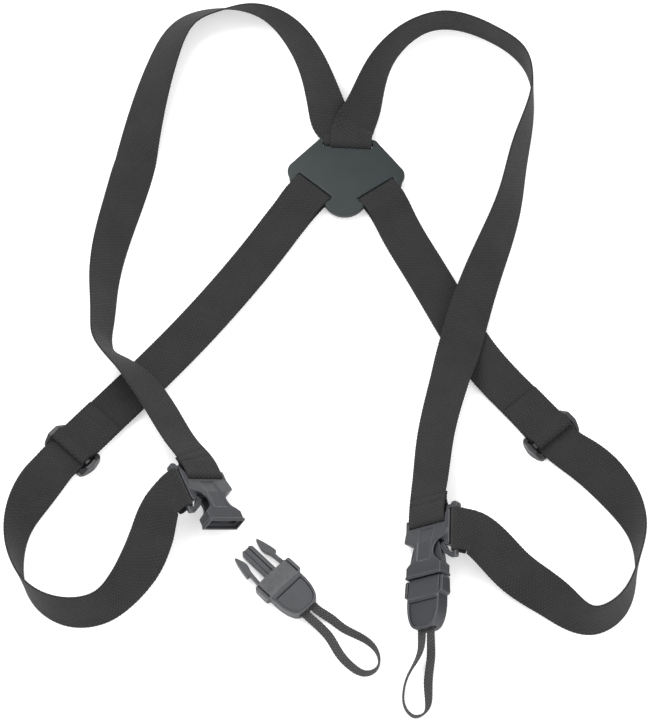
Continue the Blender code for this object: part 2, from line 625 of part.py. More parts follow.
def make_socket(name, place, side):
    """The buckle's socket. Its side bar is at +X when side is 1 and at -X when it is -1."""
    body = add_slab(name, mirrored(SOCKET_HALF), -MOUTH_HALF_HIGH, MOUTH_HALF_HIGH, "moulded_plastic",
                    place_matrix(place))
    for flip in (-1, 1):
        boolean(body, add_taper(f"{name}_taper_{flip}", flip), "DIFFERENCE")
    side_slot = box_outline(SIDE_SLOT_INSIDE, SIDE_BAR_X - BAR_THICK / 2, SIDE_SLOT_BACK, SIDE_SLOT_FRONT)
    outlines = [UPPER_ARM, LOWER_ARM, side_slot]
    if side < 0:
        outlines = [flipped(outline) for outline in outlines]
    for part, outline in zip(("upper_arm", "lower_arm"), outlines):
        arm = add_slab(f"{name}_{part}", outline, -SIDE_LOOP_HALF_HIGH, SIDE_LOOP_HALF_HIGH)
        boolean(body, arm, "UNION")
    room = TOP_BAR_Y - TOP_BAR_WIDE / 2 - SLOT_WIDE
    cuts = [
        ("side_slot", outlines[2], CUT_HALF_HIGH),
        ("top_opening", box_outline(-TOP_SLOT_HALF, TOP_SLOT_HALF, room, CUT_FRONT), CUT_HALF_HIGH),
        ("cavity", box_outline(-CAVITY_HALF_WIDE, CAVITY_HALF_WIDE, -1, CAVITY_DEEP), CAVITY_HALF_HIGH),
        ("windows", box_outline(-WINDOW_HALF_WIDE, WINDOW_HALF_WIDE, MOUTH_LONG, WINDOW_FRONT),
         CAVITY_HALF_HIGH),
    ]
    for part, outline, high in cuts:
        boolean(body, add_slab(f"{name}_{part}", outline, -high, high), "DIFFERENCE")
    soften(body, SOCKET_SOFTNESS)
    reach = (SIDE_BAR_FRONT - SIDE_BAR_BACK) / 2
    top_bar = add_rod(name + "_top_bar", (0, TOP_BAR_Y), 0, TOP_SLOT_HALF + BAR_ROOT, BAR_THICK, TOP_BAR_WIDE)
    side_bar = add_rod(name + "_side_bar", (side * SIDE_BAR_X, SIDE_BAR_BACK + reach), 90, reach,
                       BAR_THICK, BAR_THICK)
    for bar in (top_bar, side_bar):
        boolean(body, bar, "UNION")


def make_plug(name, matrix):
    """The plug's body: collar, tongue with a groove, and a pocket that holds the cord's ends."""
    half = [(0, PLUG_END), (5.5, PLUG_END), (9.2, PLUG_END + 4.5), (PLUG_HALF_WIDE, PLUG_END + 11),
            (PLUG_HALF_WIDE, -9.6), (COLLAR_HALF_WIDE, -8.2), (COLLAR_HALF_WIDE, -3.3),
            (COLLAR_HALF_WIDE - 3.2, 0), (0, 0)]
    body = add_slab(name, mirrored(half), -PLUG_HALF_HIGH, PLUG_HALF_HIGH, "moulded_plastic", matrix)
    tongue = [(0, TONGUE_ROOT), (TONGUE_HALF_WIDE, TONGUE_ROOT),
              (TONGUE_HALF_WIDE, TONGUE_LONG - TONGUE_CORNER),
              (TONGUE_HALF_WIDE - TONGUE_CORNER, TONGUE_LONG), (0, TONGUE_LONG)]
    boolean(body, add_slab(name + "_tongue", mirrored(tongue), -TONGUE_HALF_HIGH, TONGUE_HALF_HIGH), "UNION")
    groove = box_outline(-GROOVE_HALF_WIDE, GROOVE_HALF_WIDE, GROOVE_BACK, TONGUE_LONG - GROOVE_SHORTER)
    pocket = box_outline(-POCKET_HALF_WIDE, POCKET_HALF_WIDE, POCKET_BACK, POCKET_FRONT)
    passage = box_outline(-PASSAGE_HALF_WIDE, PASSAGE_HALF_WIDE, PLUG_END - 2, POCKET_BACK + 1)
    cuts = [("groove", groove, GROOVE_FLOOR, CUT_HALF_HIGH), ("pocket", pocket, POCKET_FLOOR, CUT_HALF_HIGH),
            ("passage", passage, PASSAGE_LOW, PASSAGE_HIGH)]
    for part, outline, low, high in cuts:
        boolean(body, add_slab(f"{name}_{part}", outline, low, high), "DIFFERENCE")
    soften(body, PLUG_SOFTNESS)


def make_cover(name, matrix):
    """The panel that closes the plug's pocket over the cord's ends."""
    half_wide = POCKET_HALF_WIDE - COVER_SPACE
    back, front = POCKET_BACK + COVER_SPACE, POCKET_FRONT - COVER_SPACE
    half = [(0, back), (5.0, back), (8.0, back + 2.3), (half_wide, back + 3.7), (half_wide, front),
            (0, front)]
    cover = add_slab(name, mirrored(half), COVER_LOW, PLUG_HALF_HIGH - COVER_DROP, "moulded_plastic", matrix)
    soften(cover, SMALL_SOFTNESS)


def make_crimp(name, matrix):
    """The flat metal crimp that holds the two ends of the cord."""
    back = CORD_START + MATED_GAP
    outline = box_outline(-CRIMP_HALF_WIDE, CRIMP_HALF_WIDE, back, back + CRIMP_LONG)
    crimp = add_slab(name, outline, POCKET_FLOOR + COVER_SPACE, CRIMP_HIGH, "crimp_metal", matrix)
    soften(crimp, SMALL_SOFTNESS)


def make_prong(name, matrix, side):
    """One springy prong: a thin arm and a barb with a square shoulder. Its origin is at its root."""
    outline = [(x - PRONG_ROOT_X, y) for x, y in PRONG_OUTLINE]
    if side < 0:
        outline = flipped(outline)
    root = matrix @ Matrix.Translation((side * PRONG_ROOT_X, 0, 0))
    prong = add_slab(name, outline, -PRONG_HALF_HIGH, PRONG_HALF_HIGH, "moulded_plastic", root)
    soften(prong, SMALL_SOFTNESS)


def socket_bars(matrix, side, top_side, side_side):
    """The socket's two strap bars. top_side and side_side turn each axis to the strap's A edge."""
    turn = matrix.to_3x3()
    top = (matrix @ Vector((0, TOP_BAR_Y, 0)), turn @ Vector((top_side, 0, 0)), turn @ Vector((0, 1, 0)))
    flank = (matrix @ Vector((side * SIDE_BAR_X, SIDE_BAR_Y, 0)), turn @ Vector((0, side_side, 0)))
    return top, flank


# ---- the whole harness --------------------------------------------------------------------------

def add_tack(name, strap, span):
    """A block of stitching under a strap, between two distances from the strap's end."""
    lift = STRAP_THICK / 2 + TACK_GAP + TACK_THICK / 2
    start, end = (strap.spots[-1] - away for away in span)
    rows = []
    for k in range(TACK_STEPS + 1):
        place, across, normal = strap.row_at(start + (end - start) * k / TACK_STEPS)
        rows.append((place - normal * lift, across, normal))
    add_band(name, rows, TACK_WIDE, TACK_THICK, "thread")


def make_side_strap(name, route, side, flank, adjuster_place):
    """The running layer, the return layer that slides, and the sewn end round the adjuster's bar."""
    turn = yoke_matrix().to_3x3()
    middle, axis, out = yoke_side_bar_frame(side)
    yoke_bar = Bar(yoke_matrix() @ middle, turn @ axis, turn @ out, YOKE_THICK, YOKE_SIDE_BAR_WIDE)
    end = Vector((*route[-1][:2], END_HEIGHT)) + PLAN_SHIFT
    flank_bar = Bar(flank[0], flank[1], end - flank[0], BAR_THICK, BAR_THICK)
    run = Strap(route, STRAP_WIDTH, STRAP_THICK, STATION_STEP, yoke_bar, flank_bar, 0.0,
                SIDE_END_ROLL[side], first_above=False, last_above=False)
    add_band(name, run.solid_rows(STUB_LONG, SIDE_END_TAB), STRAP_WIDTH, STRAP_THICK, "webbing")
    centre = place_matrix(adjuster_place).translation
    nearest = min(range(len(run.middles)), key=lambda i: (run.middles[i] - centre).xy.length)
    ahead = (centre - run.middles[nearest]).dot(run.middles[nearest + 1] - run.middles[nearest])
    at_adjuster = run.spots[nearest] + ahead / run.spots[1]
    return run, at_adjuster - END_LOOP_LONG - RETURN_SPACE


def make_end_loop(name, adjuster_place):
    """The strap's sewn end, folded round the adjuster's centre bar. It slides with the adjuster."""
    matrix = place_matrix(adjuster_place)
    turn = matrix.to_3x3()
    across, ahead, up = turn @ Vector((-1, 0, 0)), turn @ Vector((0, 1, 0)), Vector((0, 0, 1))
    middle = (CENTRE_BAR_LOW + CENTRE_BAR_HIGH) / 2
    radius = (CENTRE_BAR_HIGH - CENTRE_BAR_LOW) / 2 + GAP + STRAP_THICK / 2
    flat = (CENTRE_BAR_WIDE - (CENTRE_BAR_HIGH - CENTRE_BAR_LOW)) / 2
    low = middle - radius
    rows = []
    for away in END_LOOP_LOWER_ROWS:
        rows.append((matrix @ Vector((0, away, low)), across, -up))
    for k in range(TURN_STEPS + 1):
        angle = math.pi * k / TURN_STEPS
        spot = Vector((0, -flat - radius * math.sin(angle), middle - radius * math.cos(angle)))
        rows.append((matrix @ spot, across, -up * math.cos(angle) - ahead * math.sin(angle)))
    closes, over = END_LOOP_CLOSES
    for away in END_LOOP_UPPER_ROWS:
        height = low + LAYER + (2 * radius - LAYER) * (1.0 - ease((away - closes) / over))
        rows.append((matrix @ Vector((0, away, height)), across, up))
    add_band(name, rows, STRAP_WIDTH, STRAP_THICK, "webbing")


def make_return(name, run, split):
    """The return layer between the yoke and the sewn end, on top of the running layer."""
    start = STUB_LONG + RETURN_SPACE
    count = round((split - start) / STATION_STEP)
    rows = []
    for k in range(count + 1):
        where = start + (split - start) * k / count
        place, across, normal = run.row_at(where)
        rows.append((place + normal * run.first.fold_distance(where), across, normal))
    add_band(name, rows, STRAP_WIDTH, STRAP_THICK, "webbing")


def make_cord(name, route, matrix, rolls):
    """A flat cord loop that leaves the plug and comes back to it."""
    ends = []
    for side, roll in zip((-1, 1), rolls):
        height = resting_height(math.radians(roll), CORD_WIDTH, CORD_THICK)
        leg = []
        for y in (CORD_START, *(PLUG_END + away for away in CORD_EXIT)):
            spot = matrix @ Vector((side * CORD_OFFSET, y, CORD_LEVEL)) - PLAN_SHIFT
            leg.append((spot.x, spot.y, spot.z - height, roll))
        ends.append(leg)
    cord = Strap(ends[0] + route + ends[1][::-1], CORD_WIDTH, CORD_THICK, CORD_STEP)
    add_band(name, cord.solid_rows(), CORD_WIDTH, CORD_THICK, "cord")


def build():
    """Build every piece."""
    clear_scene()
    make_yoke()
    yoke = yoke_matrix()
    turn = yoke.to_3x3()
    mated = place_matrix(SOCKET_RIGHT) @ Matrix.Translation((0, -MATED_GAP, 0))
    sides = (("left", -1, SOCKET_LEFT, place_matrix(PLUG_LEFT), ADJUSTER_LEFT,
              SHOULDER_LEFT_ROUTE, SIDE_LEFT_ROUTE, CORD_LEFT_ROUTE),
             ("right", 1, SOCKET_RIGHT, mated, ADJUSTER_RIGHT,
              SHOULDER_RIGHT_ROUTE, SIDE_RIGHT_ROUTE, CORD_RIGHT_ROUTE))
    for name, side, socket, plug_matrix, adjuster, shoulder_route, side_route, cord_route in sides:
        make_socket("buckle_socket_" + name, socket, side)
        make_plug("buckle_plug_" + name, plug_matrix)
        make_cover("plug_cover_" + name, plug_matrix)
        make_crimp("cord_crimp_" + name, plug_matrix)
        for prong_side, prong_name in ((-1, "outer"), (1, "inner")):
            make_prong(f"prong_{name}_{prong_name}", plug_matrix, prong_side)
        make_adjuster("slide_adjuster_" + name, adjuster)
        top, flank = socket_bars(place_matrix(socket), side, -1, side)
        first = Bar(yoke @ Vector((side * SHOULDER_OFFSET, YOKE_TOP_BAR_Y, 0)), turn @ Vector((-1, 0, 0)),
                    turn @ Vector((0, 1, 0)), YOKE_THICK, YOKE_TOP_BAR_WIDE, 0 if side < 0 else 1,
                    SHOULDER_STRAIGHT)
        last = Bar(top[0], top[1], top[2], BAR_THICK, TOP_BAR_WIDE)
        shoulder = Strap(shoulder_route, STRAP_WIDTH, STRAP_THICK, STATION_STEP, first, last, 0.0,
                         SHOULDER_END_ROLL[side], first_above=True, last_above=False)
        rows = shoulder.solid_rows(SHOULDER_TAB[side], SHOULDER_END_TAB)
        add_band("shoulder_strap_" + name, rows, STRAP_WIDTH, STRAP_THICK, "webbing")
        add_tack("stitching_shoulder_" + name, shoulder, SHOULDER_TACK)
        run, split = make_side_strap("side_strap_" + name, side_route, side, flank, adjuster)
        add_tack("stitching_side_" + name, run, SIDE_TACK)
        make_return("return_layer_" + name, run, split)
        make_end_loop("sewn_end_" + name, adjuster)
        low = RETURN_HEIGHT + LAYER + STRAP_THICK / 2 + GAP
        tack = box_outline(-TACK_WIDE / 2, TACK_WIDE / 2, *ADJUSTER_TACK)
        add_slab("stitching_adjuster_" + name, tack, low, low + TACK_THICK, "thread", place_matrix(adjuster))
        make_cord("cord_loop_" + name, cord_route, plug_matrix, CORD_ROLLS[side])


build()
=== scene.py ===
"""Looks of a webbing carrying harness, laid out on a pale table.

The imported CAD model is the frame. Every piece here is built where its CAD node lies, from the same
routes and placements, and rides on the same body. Lengths are in millimetres and angles in degrees up
to the point where a mesh is made.
"""

import math

import bpy
import numpy as np
from mathutils import Euler, Matrix, Vector


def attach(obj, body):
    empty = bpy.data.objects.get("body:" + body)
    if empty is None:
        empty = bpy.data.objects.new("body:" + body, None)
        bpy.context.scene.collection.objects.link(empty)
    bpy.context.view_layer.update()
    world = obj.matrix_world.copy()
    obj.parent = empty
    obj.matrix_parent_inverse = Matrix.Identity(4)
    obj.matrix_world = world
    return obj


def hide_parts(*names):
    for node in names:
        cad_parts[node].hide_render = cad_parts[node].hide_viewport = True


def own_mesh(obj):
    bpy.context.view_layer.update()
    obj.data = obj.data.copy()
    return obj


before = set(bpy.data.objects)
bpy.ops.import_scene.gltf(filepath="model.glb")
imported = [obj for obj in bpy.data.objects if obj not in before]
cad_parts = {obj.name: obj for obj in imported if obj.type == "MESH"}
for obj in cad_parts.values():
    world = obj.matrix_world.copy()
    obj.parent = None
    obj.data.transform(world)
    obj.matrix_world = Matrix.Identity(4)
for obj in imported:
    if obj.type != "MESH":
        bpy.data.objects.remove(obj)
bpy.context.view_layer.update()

MM = 0.001

# Camera: it looks at the plan's own origin
CAMERA_ELEVATION = 65.0
CAMERA_DISTANCE = 1600.0
CAMERA_LENS = 136.0
CAMERA_SENSOR = 36.0

# Light, in metres and watts: name, place, size, power
LIGHTS = (("key_light", (-0.6, 0.5, 1.3), 0.9, 17.0),
          ("fill_light", (0.9, -0.5, 1.2), 1.2, 9.0),
          ("front_light", (0.0, -1.4, 0.9), 1.0, 7.0))
SKY_STRENGTH = 0.8
TABLE_HALF = 3000.0
TABLE_TOP = -0.05

# Plastics: colour, colour on convex edges (partly wear, partly painted highlight), roughness, specular level
PLASTICS = {
    "moulded": ((0.026, 0.027, 0.032), (0.12, 0.125, 0.135), 0.42, 0.5),
    "adjuster": ((0.02, 0.0205, 0.023), (0.035, 0.036, 0.04), 0.42, 0.42),
    "yoke": ((0.0125, 0.0185, 0.0195), (0.028, 0.035, 0.037), 0.45, 0.33),
}
DEEP_SHARE = 0.82               # how dark the darker patches of a plastic are
EDGE_RANGE = (0.51, 0.58)       # from plain to fully lightened edges, as the shader measures an edge; partly wear, partly painted highlight
SPREAD = (0.3, 0.7)             # the range in which most of a noise's values lie
NARROW_SPREAD = (0.35, 0.65)
TONE_SCALE = 70.0               # noise scales: lumps of tone, moulded grain, scuffs
GRAIN_SCALE = 2600.0
SCUFF_SCALE = 420.0
TWIST_SCALE = 900.0
MARKS_STRETCH = (4000.0, 300.0, 300.0)
FIBRE_STRETCH = (6.0, 1.1, 1.0)
FIBRE_SCALE = 1.6
SHADE_SCALE = 0.05
SPECKLE_SCALE = 0.9
MOTTLE_SCALE = 6.0
WEBBING_SHADES = (0.0155, 0.028, 0.01)  # colour in the weave's hollows (painted shade), on its lumps (painted highlight), warmth
CORD_SHADES = (0.03, 0.085, 0.0)

# Moulded pieces
CUTTER_REACH = 9.0              # past the upper and lower face of any piece
BEYOND = 50.0                   # past the end of any piece
BAR_ROOT = 1.2                  # how far a bar runs into the plate at its ends
KEPT_TRIANGLES = 0.5
ROD_STEPS = 10                  # flat faces on a bar's rounded edge

# Webbing and cord
STRAP_WIDTH = 25.4
STRAP_THICK = 1.2
CORD_WIDTH = 5.5
CORD_THICK = 1.3
GAP = 0.2
LAYER = STRAP_THICK + GAP       # distance between the middles of two layers that lie on each other
STEP = 0.6                      # distance between two rows of points along webbing
AIM_ROWS = 3                    # a strap's direction is taken from this many rows on either side
TURN_STEPS = 14                 # rows in the half turn round a bar
FOLD_START = 0.5                # from the bar to the first row of the folded end that lies on the strap
EDGE_SOFTNESS = 0.02
STRAP_COLUMNS = 14              # cords of the weave across a strap
STRAP_PITCH = 2.0               # length of one lump of the weave
STRAP_RELIEF = 0.17             # depth of the weave
STAGGER = 0.5                   # shift between neighbouring columns, in lumps
FACE_SHIFT = 0.25               # shift between a strap's faces and its middle, in lumps
CORD_COLUMNS = 4
CORD_PITCH = 1.9
CORD_RELIEF = 0.16
PATH_EVERY = 4                  # rows from one point of a cord's stated path to the next
SELVEDGE_ANGLES = (50, 0, -50)  # points round a strap's edge
SELVEDGE_RELIEF = 0.1           # how far the lumps show in it
VALLEY_SHARE = 0.35             # height of the weave between two columns, as a share of a lump
WIDEST_SLANT = 1.05             # how much wider than its width a strap gets where it leaves a bar aslant
CREASE_DEEP = 0.45              # a line pressed into both faces of a strap
CREASE_HALF = 1.0

# The object's frame: the plan below is drawn from another point, and this moves it to the middle
PLAN_SHIFT = Vector((0.2, -35.2, 0.0))

# Yoke plate
YOKE_THICK = 3.2
YOKE_HEIGHT = 5.0
YOKE_TURN = -3.0
YOKE_PLACE = (12.7, 120.6)
YOKE_TOP_BAR_Y = 23.2
YOKE_TOP_BAR_WIDE = 3.6
YOKE_TOP_SLOT_HALF = 15.0
ONE_LAYER_HALF = 11.2           # left of this only one strap passes through the top slot
YOKE_SIDE_BAR_WIDE = 5.2
YOKE_SIDE_BAR = (20.6, -11.6)
YOKE_SIDE_SLOT_HALF = 13.1
YOKE_SIDE_TURN = 37.6
YOKE_SIDE_SLOT_DEEP = 20.0
YOKE_DOME = 0.9                 # how far the plate's upper face bulges in its middle
DOME_HALF_WIDE = 34.0
DOME_HALF_LONG = 24.0
DOME_MIDDLE_Y = -2.0
YOKE_LOWER_LOBE = ((0, -14.5), 13.5, -90, -35, 12)  # arcs: centre, radius, angles, steps
YOKE_CORNER = (33.8, -5.4)
YOKE_SIDE_LOBE = ((29, 1.5), 6.5, -35, 45, 10)
YOKE_TOP_CORNER = ((15.6, 22.4), 2.6, 30, 90, 8)
SLOT_WIDE = 1.9                 # narrow, as worn-in webbing fills the slots
TWO_LAYER_SLOT_WIDE = 2.9

# Ends of the straps: how far from a bar each runs straight, and then closes up on its folded end
SIDE_STRAIGHT = 7.0
SIDE_SETTLE = 14.0
SHOULDER_OFFSET = 2.0           # from the middle of the yoke's upper bar to each strap's middle
SHOULDER_STRAIGHT = 2.0
SHOULDER_SETTLE = 9.0
SHOULDER_CREASE = 11.0          # from the slot to the pressed line on the right strap
SHOULDER_TAB = {-1: 12.0, 1: 5.0}
SHOULDER_END_TAB = 16.0
SIDE_END_TAB = 11.0
SHOULDER_END_CREASES = (7.0, 11.5)  # from the strap's last row
END_STRAIGHT = 4.0
END_SETTLE = 9.0
FLANK_END_HIGH = 12.0           # height of the side strap's middle near its socket
STITCH_LONG = 2.0
STITCH_GAP = 0.5
STITCH_RADIUS = 0.24
STITCH_LIFT = 0.12              # height of a stitch's middle over the webbing
STITCH_DIP = 0.3456             # how much lower its ends lie
STITCH_RINGS = 5
STITCH_SIDES = 6
TACK_HALF_WIDE = 10.0
SIDE_TACK = (9.5, 7.0)          # from the strap's last row
SHOULDER_TACK = (13.5, 11.0)
ADJUSTER_TACK = (17.0, 19.5)    # from the adjuster's centre bar

# Slide adjuster, in its own frame: +Y towards the yoke, z from the table
ADJUSTER_HALF_WIDE = 17.4
ADJUSTER_HALF_LONG = 8.6
RAIL_INSIDE = 13.0
OUTER_BAR_WIDE = 2.6
OUTER_BAR_LOW = 0.2
OUTER_BAR_HIGH = 1.8
CENTRE_BAR_WIDE = 3.6
CENTRE_BAR_THICK = 1.8
CENTRE_BAR_MIDDLE = 5.7         # height
RAIL_HIGH = 7.0
SHADE_SHEET_HIGH = 1.4             # top of a thin plastic sheet that fills the D-shaped rail's opening, put there as painted shade
SHADE_SHEET_INSIDE = 11.0               # the sheet reaches this far in, under the strap's edge
RAIL_ROOT = 1.4                 # how far the centre bar runs into each rail
RAIL_BOW = [(RAIL_INSIDE, -ADJUSTER_HALF_LONG), (14.8, 0.2 - ADJUSTER_HALF_LONG), (16.4, -6.4),
            (ADJUSTER_HALF_WIDE, -3.2), (ADJUSTER_HALF_WIDE + 0.5, 0)]
LOW_BOW = [(RAIL_INSIDE, -ADJUSTER_HALF_LONG), (14.6, -7.6), (15.4, -4.0), (15.7, 0)]
RAIL_HOLE = [(RAIL_INSIDE - 1, -5.6), (14.6, -5.2), (15.4, -3.0), (15.6, 0)]
RAIL_FALL = [(3.4, RAIL_HIGH + 2), (3.4, RAIL_HIGH), (7.4, 2.6), (12, 2.6), (12, RAIL_HIGH + 2)]
RAIL_FALL_REACH = 20.0          # half length of the cutters, past both rails
END_LOOP_LONG = 28.0
END_LOOP_SHORT = 26.0           # the same, of the layer below
END_LOOP_STRAIGHT = 1.5
END_LOOP_SETTLE = 6.0
SLOPE_REACH = 0.1               # its slope is taken over this distance on either side
RETURN_LAP = 1.8                # how far the end loop's upper layer laps over the return layer
STUB_LONG = 9.0
SEAM = 0.03                     # between two pieces of one strap, which meet face to face

# Buckle socket, in its own frame: origin in the mouth, +Y towards the strap, +X to the side bar
MOUTH_HALF_WIDE = 12.2
MOUTH_HALF_HIGH = 4.5
MOUTH_LONG = 6.6
CAVITY_HALF_WIDE = 10.6
CAVITY_HALF_HIGH = 2.5
CAVITY_DEEP = 21.6
FLARE_HALF_WIDE = 11.4          # the cavity's wider first stretch
FLARE_HALF_HIGH = 3.7
FLARE_DEEP = 2.4
BAR_THICK = 3.2
TOP_BAR_Y = 35.0
TOP_BAR_WIDE = 3.6
TOP_SLOT_HALF = 13.1
SIDE_BAR_X = 19.8
SIDE_BAR_Y = 25.2
SIDE_SLOT_BACK = 12.0
SIDE_SLOT_FRONT = 38.4
SIDE_BAR_BACK = 8.8
SIDE_BAR_FRONT = 41.0
SIDE_LOOP_HALF_HIGH = 1.5
KNOB_HALF_HIGH = 2.2            # thickened corner where the side bar meets the upper arm
BAND_HALF_HIGH = 2.3            # rib between the side strap's slot and the body
FLANK_X = 15.2                  # the body's side beside the straps' slots
WINDOW_HALF_WIDE = 14.0         # openings that the barbs latch in
WINDOW_FRONT = 20.2
RIM_PROUD = 0.3                 # lip round the mouth
RIM_THICK = 0.35
RIM_LONG = 1.5
SOCKET_FRONT = TOP_BAR_Y + 1.6
TAPER = (0.0, 30.0, 8.0, 30.5, BEYOND)  # sink, half width, then back, front and end
PANEL = (0.5, 4.9, 9.5, 29.5, 29.6)     # shallow recess in both faces, in the same order
TAPER_KNEE = (21.0, 3.7)        # (y, z) where the slope changes
TAPER_LIFT = 0.1
SOCKET_WAIST = [(MOUTH_HALF_WIDE, MOUTH_LONG), (10.4, 8.3), (7.6, 10.8), (6.5, 14.0), (7.0, 17.4),
                (9.3, 20.2), (12.6, 21.6), (14.6, 22.6), (FLANK_X, 24.6)]
UPPER_ARM = [(13.3, 34), (FLANK_X, 34), (FLANK_X, SIDE_SLOT_FRONT), (SIDE_BAR_X, SIDE_SLOT_FRONT),
             (SIDE_BAR_X, SIDE_BAR_FRONT - 0.2), (14.5, SIDE_BAR_FRONT - 0.2), (13.3, 39.5)]
LOWER_ARM = [(9, 17), (12.6, 12.0), (16.4, 9.2), (SIDE_BAR_X, 9.2), (SIDE_BAR_X, SIDE_SLOT_BACK),
             (17, SIDE_SLOT_BACK), (14.2, 14.8), (11.5, 19.5)]
BAND = [(12.4, 20.0), (13.4, 17.4), (14.8, 16.4), (16.3, 17.6), (16.4, 22.0), (16.4, 36.4), (15.6, 37.6),
        (14.2, 37.4), (13.2, 36.0)]
KNOB = [(16.8, 39.0), (17.6, 41.6), (20.4, 41.8), (21.3, 40.2), (21.0, 38.2), (18.8, 37.6)]

# Buckle plug, in the same frame as the socket that it fits
PLUG_END = -30.5
PLUG_HALF_HIGH = 4.3
RIB_Y = -12.8                   # raised rib between the collar and the shield-shaped panel
RIB_HALF_LONG = 10.4
RIB_THICK = 1.5
RIB_WIDE = 2.2
RIB_SINK = 0.35
TONGUE_LONG = 20.5
TONGUE_HALF_WIDE = 4.0
TONGUE_HALF_HIGH = 2.0
GROOVE_HALF_WIDE = 1.8
GROOVE_FLOOR = 0.6
WALL_ROOT = 0.3                 # how far the groove's walls run into its floor
PRONG_ROOT_X = 9.3
PRONG_HALF_HIGH = 2.0
MATED_GAP = 0.3
POCKET_FLOOR = -1.3
PLUG_FLANK = [(0, PLUG_END), (4.4, PLUG_END + 0.2), (7.4, PLUG_END + 1.8), (9.3, PLUG_END + 4.8),
              (10.6, PLUG_END + 9.0), (11.2, PLUG_END + 14.0)]
COLLAR = [(11.2, -11.2), (13.1, -10.4), (13.4, -9.4), (13.4, -1.6), (12.9, -0.7), (10.6, 0), (0, 0)]
TONGUE = [(TONGUE_HALF_WIDE, -2), (TONGUE_HALF_WIDE, TONGUE_LONG - 1.5),
          (TONGUE_HALF_WIDE - 1.5, TONGUE_LONG)]
POCKET = [(0, -29.0), (4.0, -28.8), (6.9, -27.0), (8.5, -24.0), (9.4, -19.4), (9.6, -14.0)]
COLLAR_NOTCH = (10.7, 11.4, -10.4, 1.0)  # left, right, back, front
NOTCH_FLOOR = 2.2
CORD_SLOT_HALF = 6.4            # opening in the plug's end
CORD_SLOT_FRONT = -26.4
CORD_SLOT_HEIGHTS = (-1.0, 1.4)
COLLAR_SLOPE = [(1, 3.2), (1, 9), (-12.4, 9), (-12.4, PLUG_HALF_HIGH + 0.01), (-9.0, 3.9)]
COLLAR_SLOPE_REACH = 30.0       # half length of the cutters, past the collar
COVER_EDGE = [(0, -28.9), (4.0, -28.7), (6.8, -26.9), (8.4, -23.9), (9.3, -19.3), (9.5, -14.1)]
COVER_FLOOR = 2.3
COVER_SINK = 0.8                # how far the panel lies below the plug's upper face
ARM = [(8.4, MATED_GAP), (10.2, MATED_GAP), (9.8, 7.2), (11.5, 7.3)]
BARB_OUTSIDE = [(11.6, 8.4), (11.3, 10.7), (10.5, 14.6), (9.4, 18.6), (8.7, 20.6)]
BARB_INSIDE = [(8.0, 20.4), (7.1, 18.0), (6.2, 14.5), (6.4, 11.6), (7.6, 8.4)]
CORD_OFFSET = 3.2
CORD_LEG = (-24.2, PLUG_END + 2.0, PLUG_END - 3.0)  # where each leg of a cord runs, from inside the plug
CORD_LEVEL = 0.2
CORD_END_ROLLS = {"left": (0.0, 180.0), "right": (40.0, 140.0)}

# Where the hardware lies: (x, y, z), then turn about Z, pitch about X, roll about Y
SOCKET_RIGHT = ((57.7, -141.4, 12.9), (-2.0, 0.0, -40.0))
SOCKET_LEFT = ((-57.0, -110.6, 16.6), (23.0, -7.0, 38.0))
PLUG_LEFT = ((-30.5, -135.5, 4.5), (45.0, 0.0, 0.0))
ADJUSTER_LEFT = ((-146.5, -58.2, 0.0), (-43.0, 0.0, 0.0))
ADJUSTER_RIGHT = ((131.5, -48.8, 0.0), (41.0, 0.0, 0.0))

# Routes: (x, y, lift, roll). With roll 0 a strap lies flat, at 90 it stands on its edge. Its lower
# edge rests on the table, raised by lift.
SHOULDER_LEFT_ROUTE = [
    (5, 157, 2.5, -16), (0.5, 168, 0.5, -33), (-3.8, 183, 0, -47), (-20, 216.5, 0, -73), (-44, 234, 0, -106),
    (-66, 235, 0, -125), (-85, 228, 0, -134), (-99, 203, 0, -143), (-112, 150, 0, -165),
    (-120, 108, 0, -203), (-128, 72, 0, -221), (-131, 46, 0, -232), (-131, 26, 0.5, -240),
    (-131, 12, 2, -245), (-128, 1, 5, -246), (-118, -9, 6, -236), (-106, -21, 6, -224),
    (-94, -39, 6, -221), (-81, -60, 5, -222)]
SHOULDER_RIGHT_ROUTE = [
    (20.5, 158, 3.5, 30), (25, 170, 1, 42), (30, 186, 0, 57), (44, 210, 0, 80), (70, 226, 0, 95),
    (104, 216, 0, 96), (123, 198, 0, 92), (127, 180, 0, 94), (118, 134, 0, 114), (111, 101, 1, 125),
    (93, 50, 4, 150), (81.5, 14, 5.5, 172), (72.5, -18, 5.5, 202), (63.5, -55, 4, 212), (60, -82, 5, 217)]
SIDE_LEFT_ROUTE = [
    (-32.4, 77.4, 1.75, 0), (-55.8, 44.8, 1.75, 0), (-83, 11, 1.75, 0), (-108, -17, 1.75, 0),
    (-129, -39.5, 1.75, 0), (-146.5, -58.2, 1.75, 0), (-155.1, -67.4, 1.75, 0),
    (-165, -83.5, 0.5, -24), (-174, -105.5, 0, -56), (-174.5, -130, 0, -76), (-166, -149, 0, -92),
    (-144, -161, 0, -110), (-125, -157.5, 0, -119), (-112, -144, 1, -137), (-101, -124, 8, -168)]
SIDE_RIGHT_ROUTE = [
    (45, 85, 1.75, 0), (58, 60, 1.75, 0), (73, 31, 1.75, 0), (88, 4, 1.75, 0), (103, -16, 1.75, 0),
    (119.5, -35, 1.75, 0), (136, -54, 1.75, 0), (151, -67, 1, 14), (167, -87, 0, 42),
    (177.5, -113, 0, 74), (175.5, -136, 0, 93), (165, -158.5, 0, 105), (150, -166, 0, 110),
    (129, -153, 1, 138), (107, -137, 7, 160)]
CORD_LEFT_ROUTE = [
    (2, -172, 1, 15), (8, -182, 0, 25), (15, -190, 0, 45), (23, -194, 0, 75), (29, -191, 0, 90),
    (30, -184, 0, 95), (26, -177, 0, 110), (18, -171.5, 0, 125), (10, -167, 0, 140),
    (3, -161.5, 1, 155)]
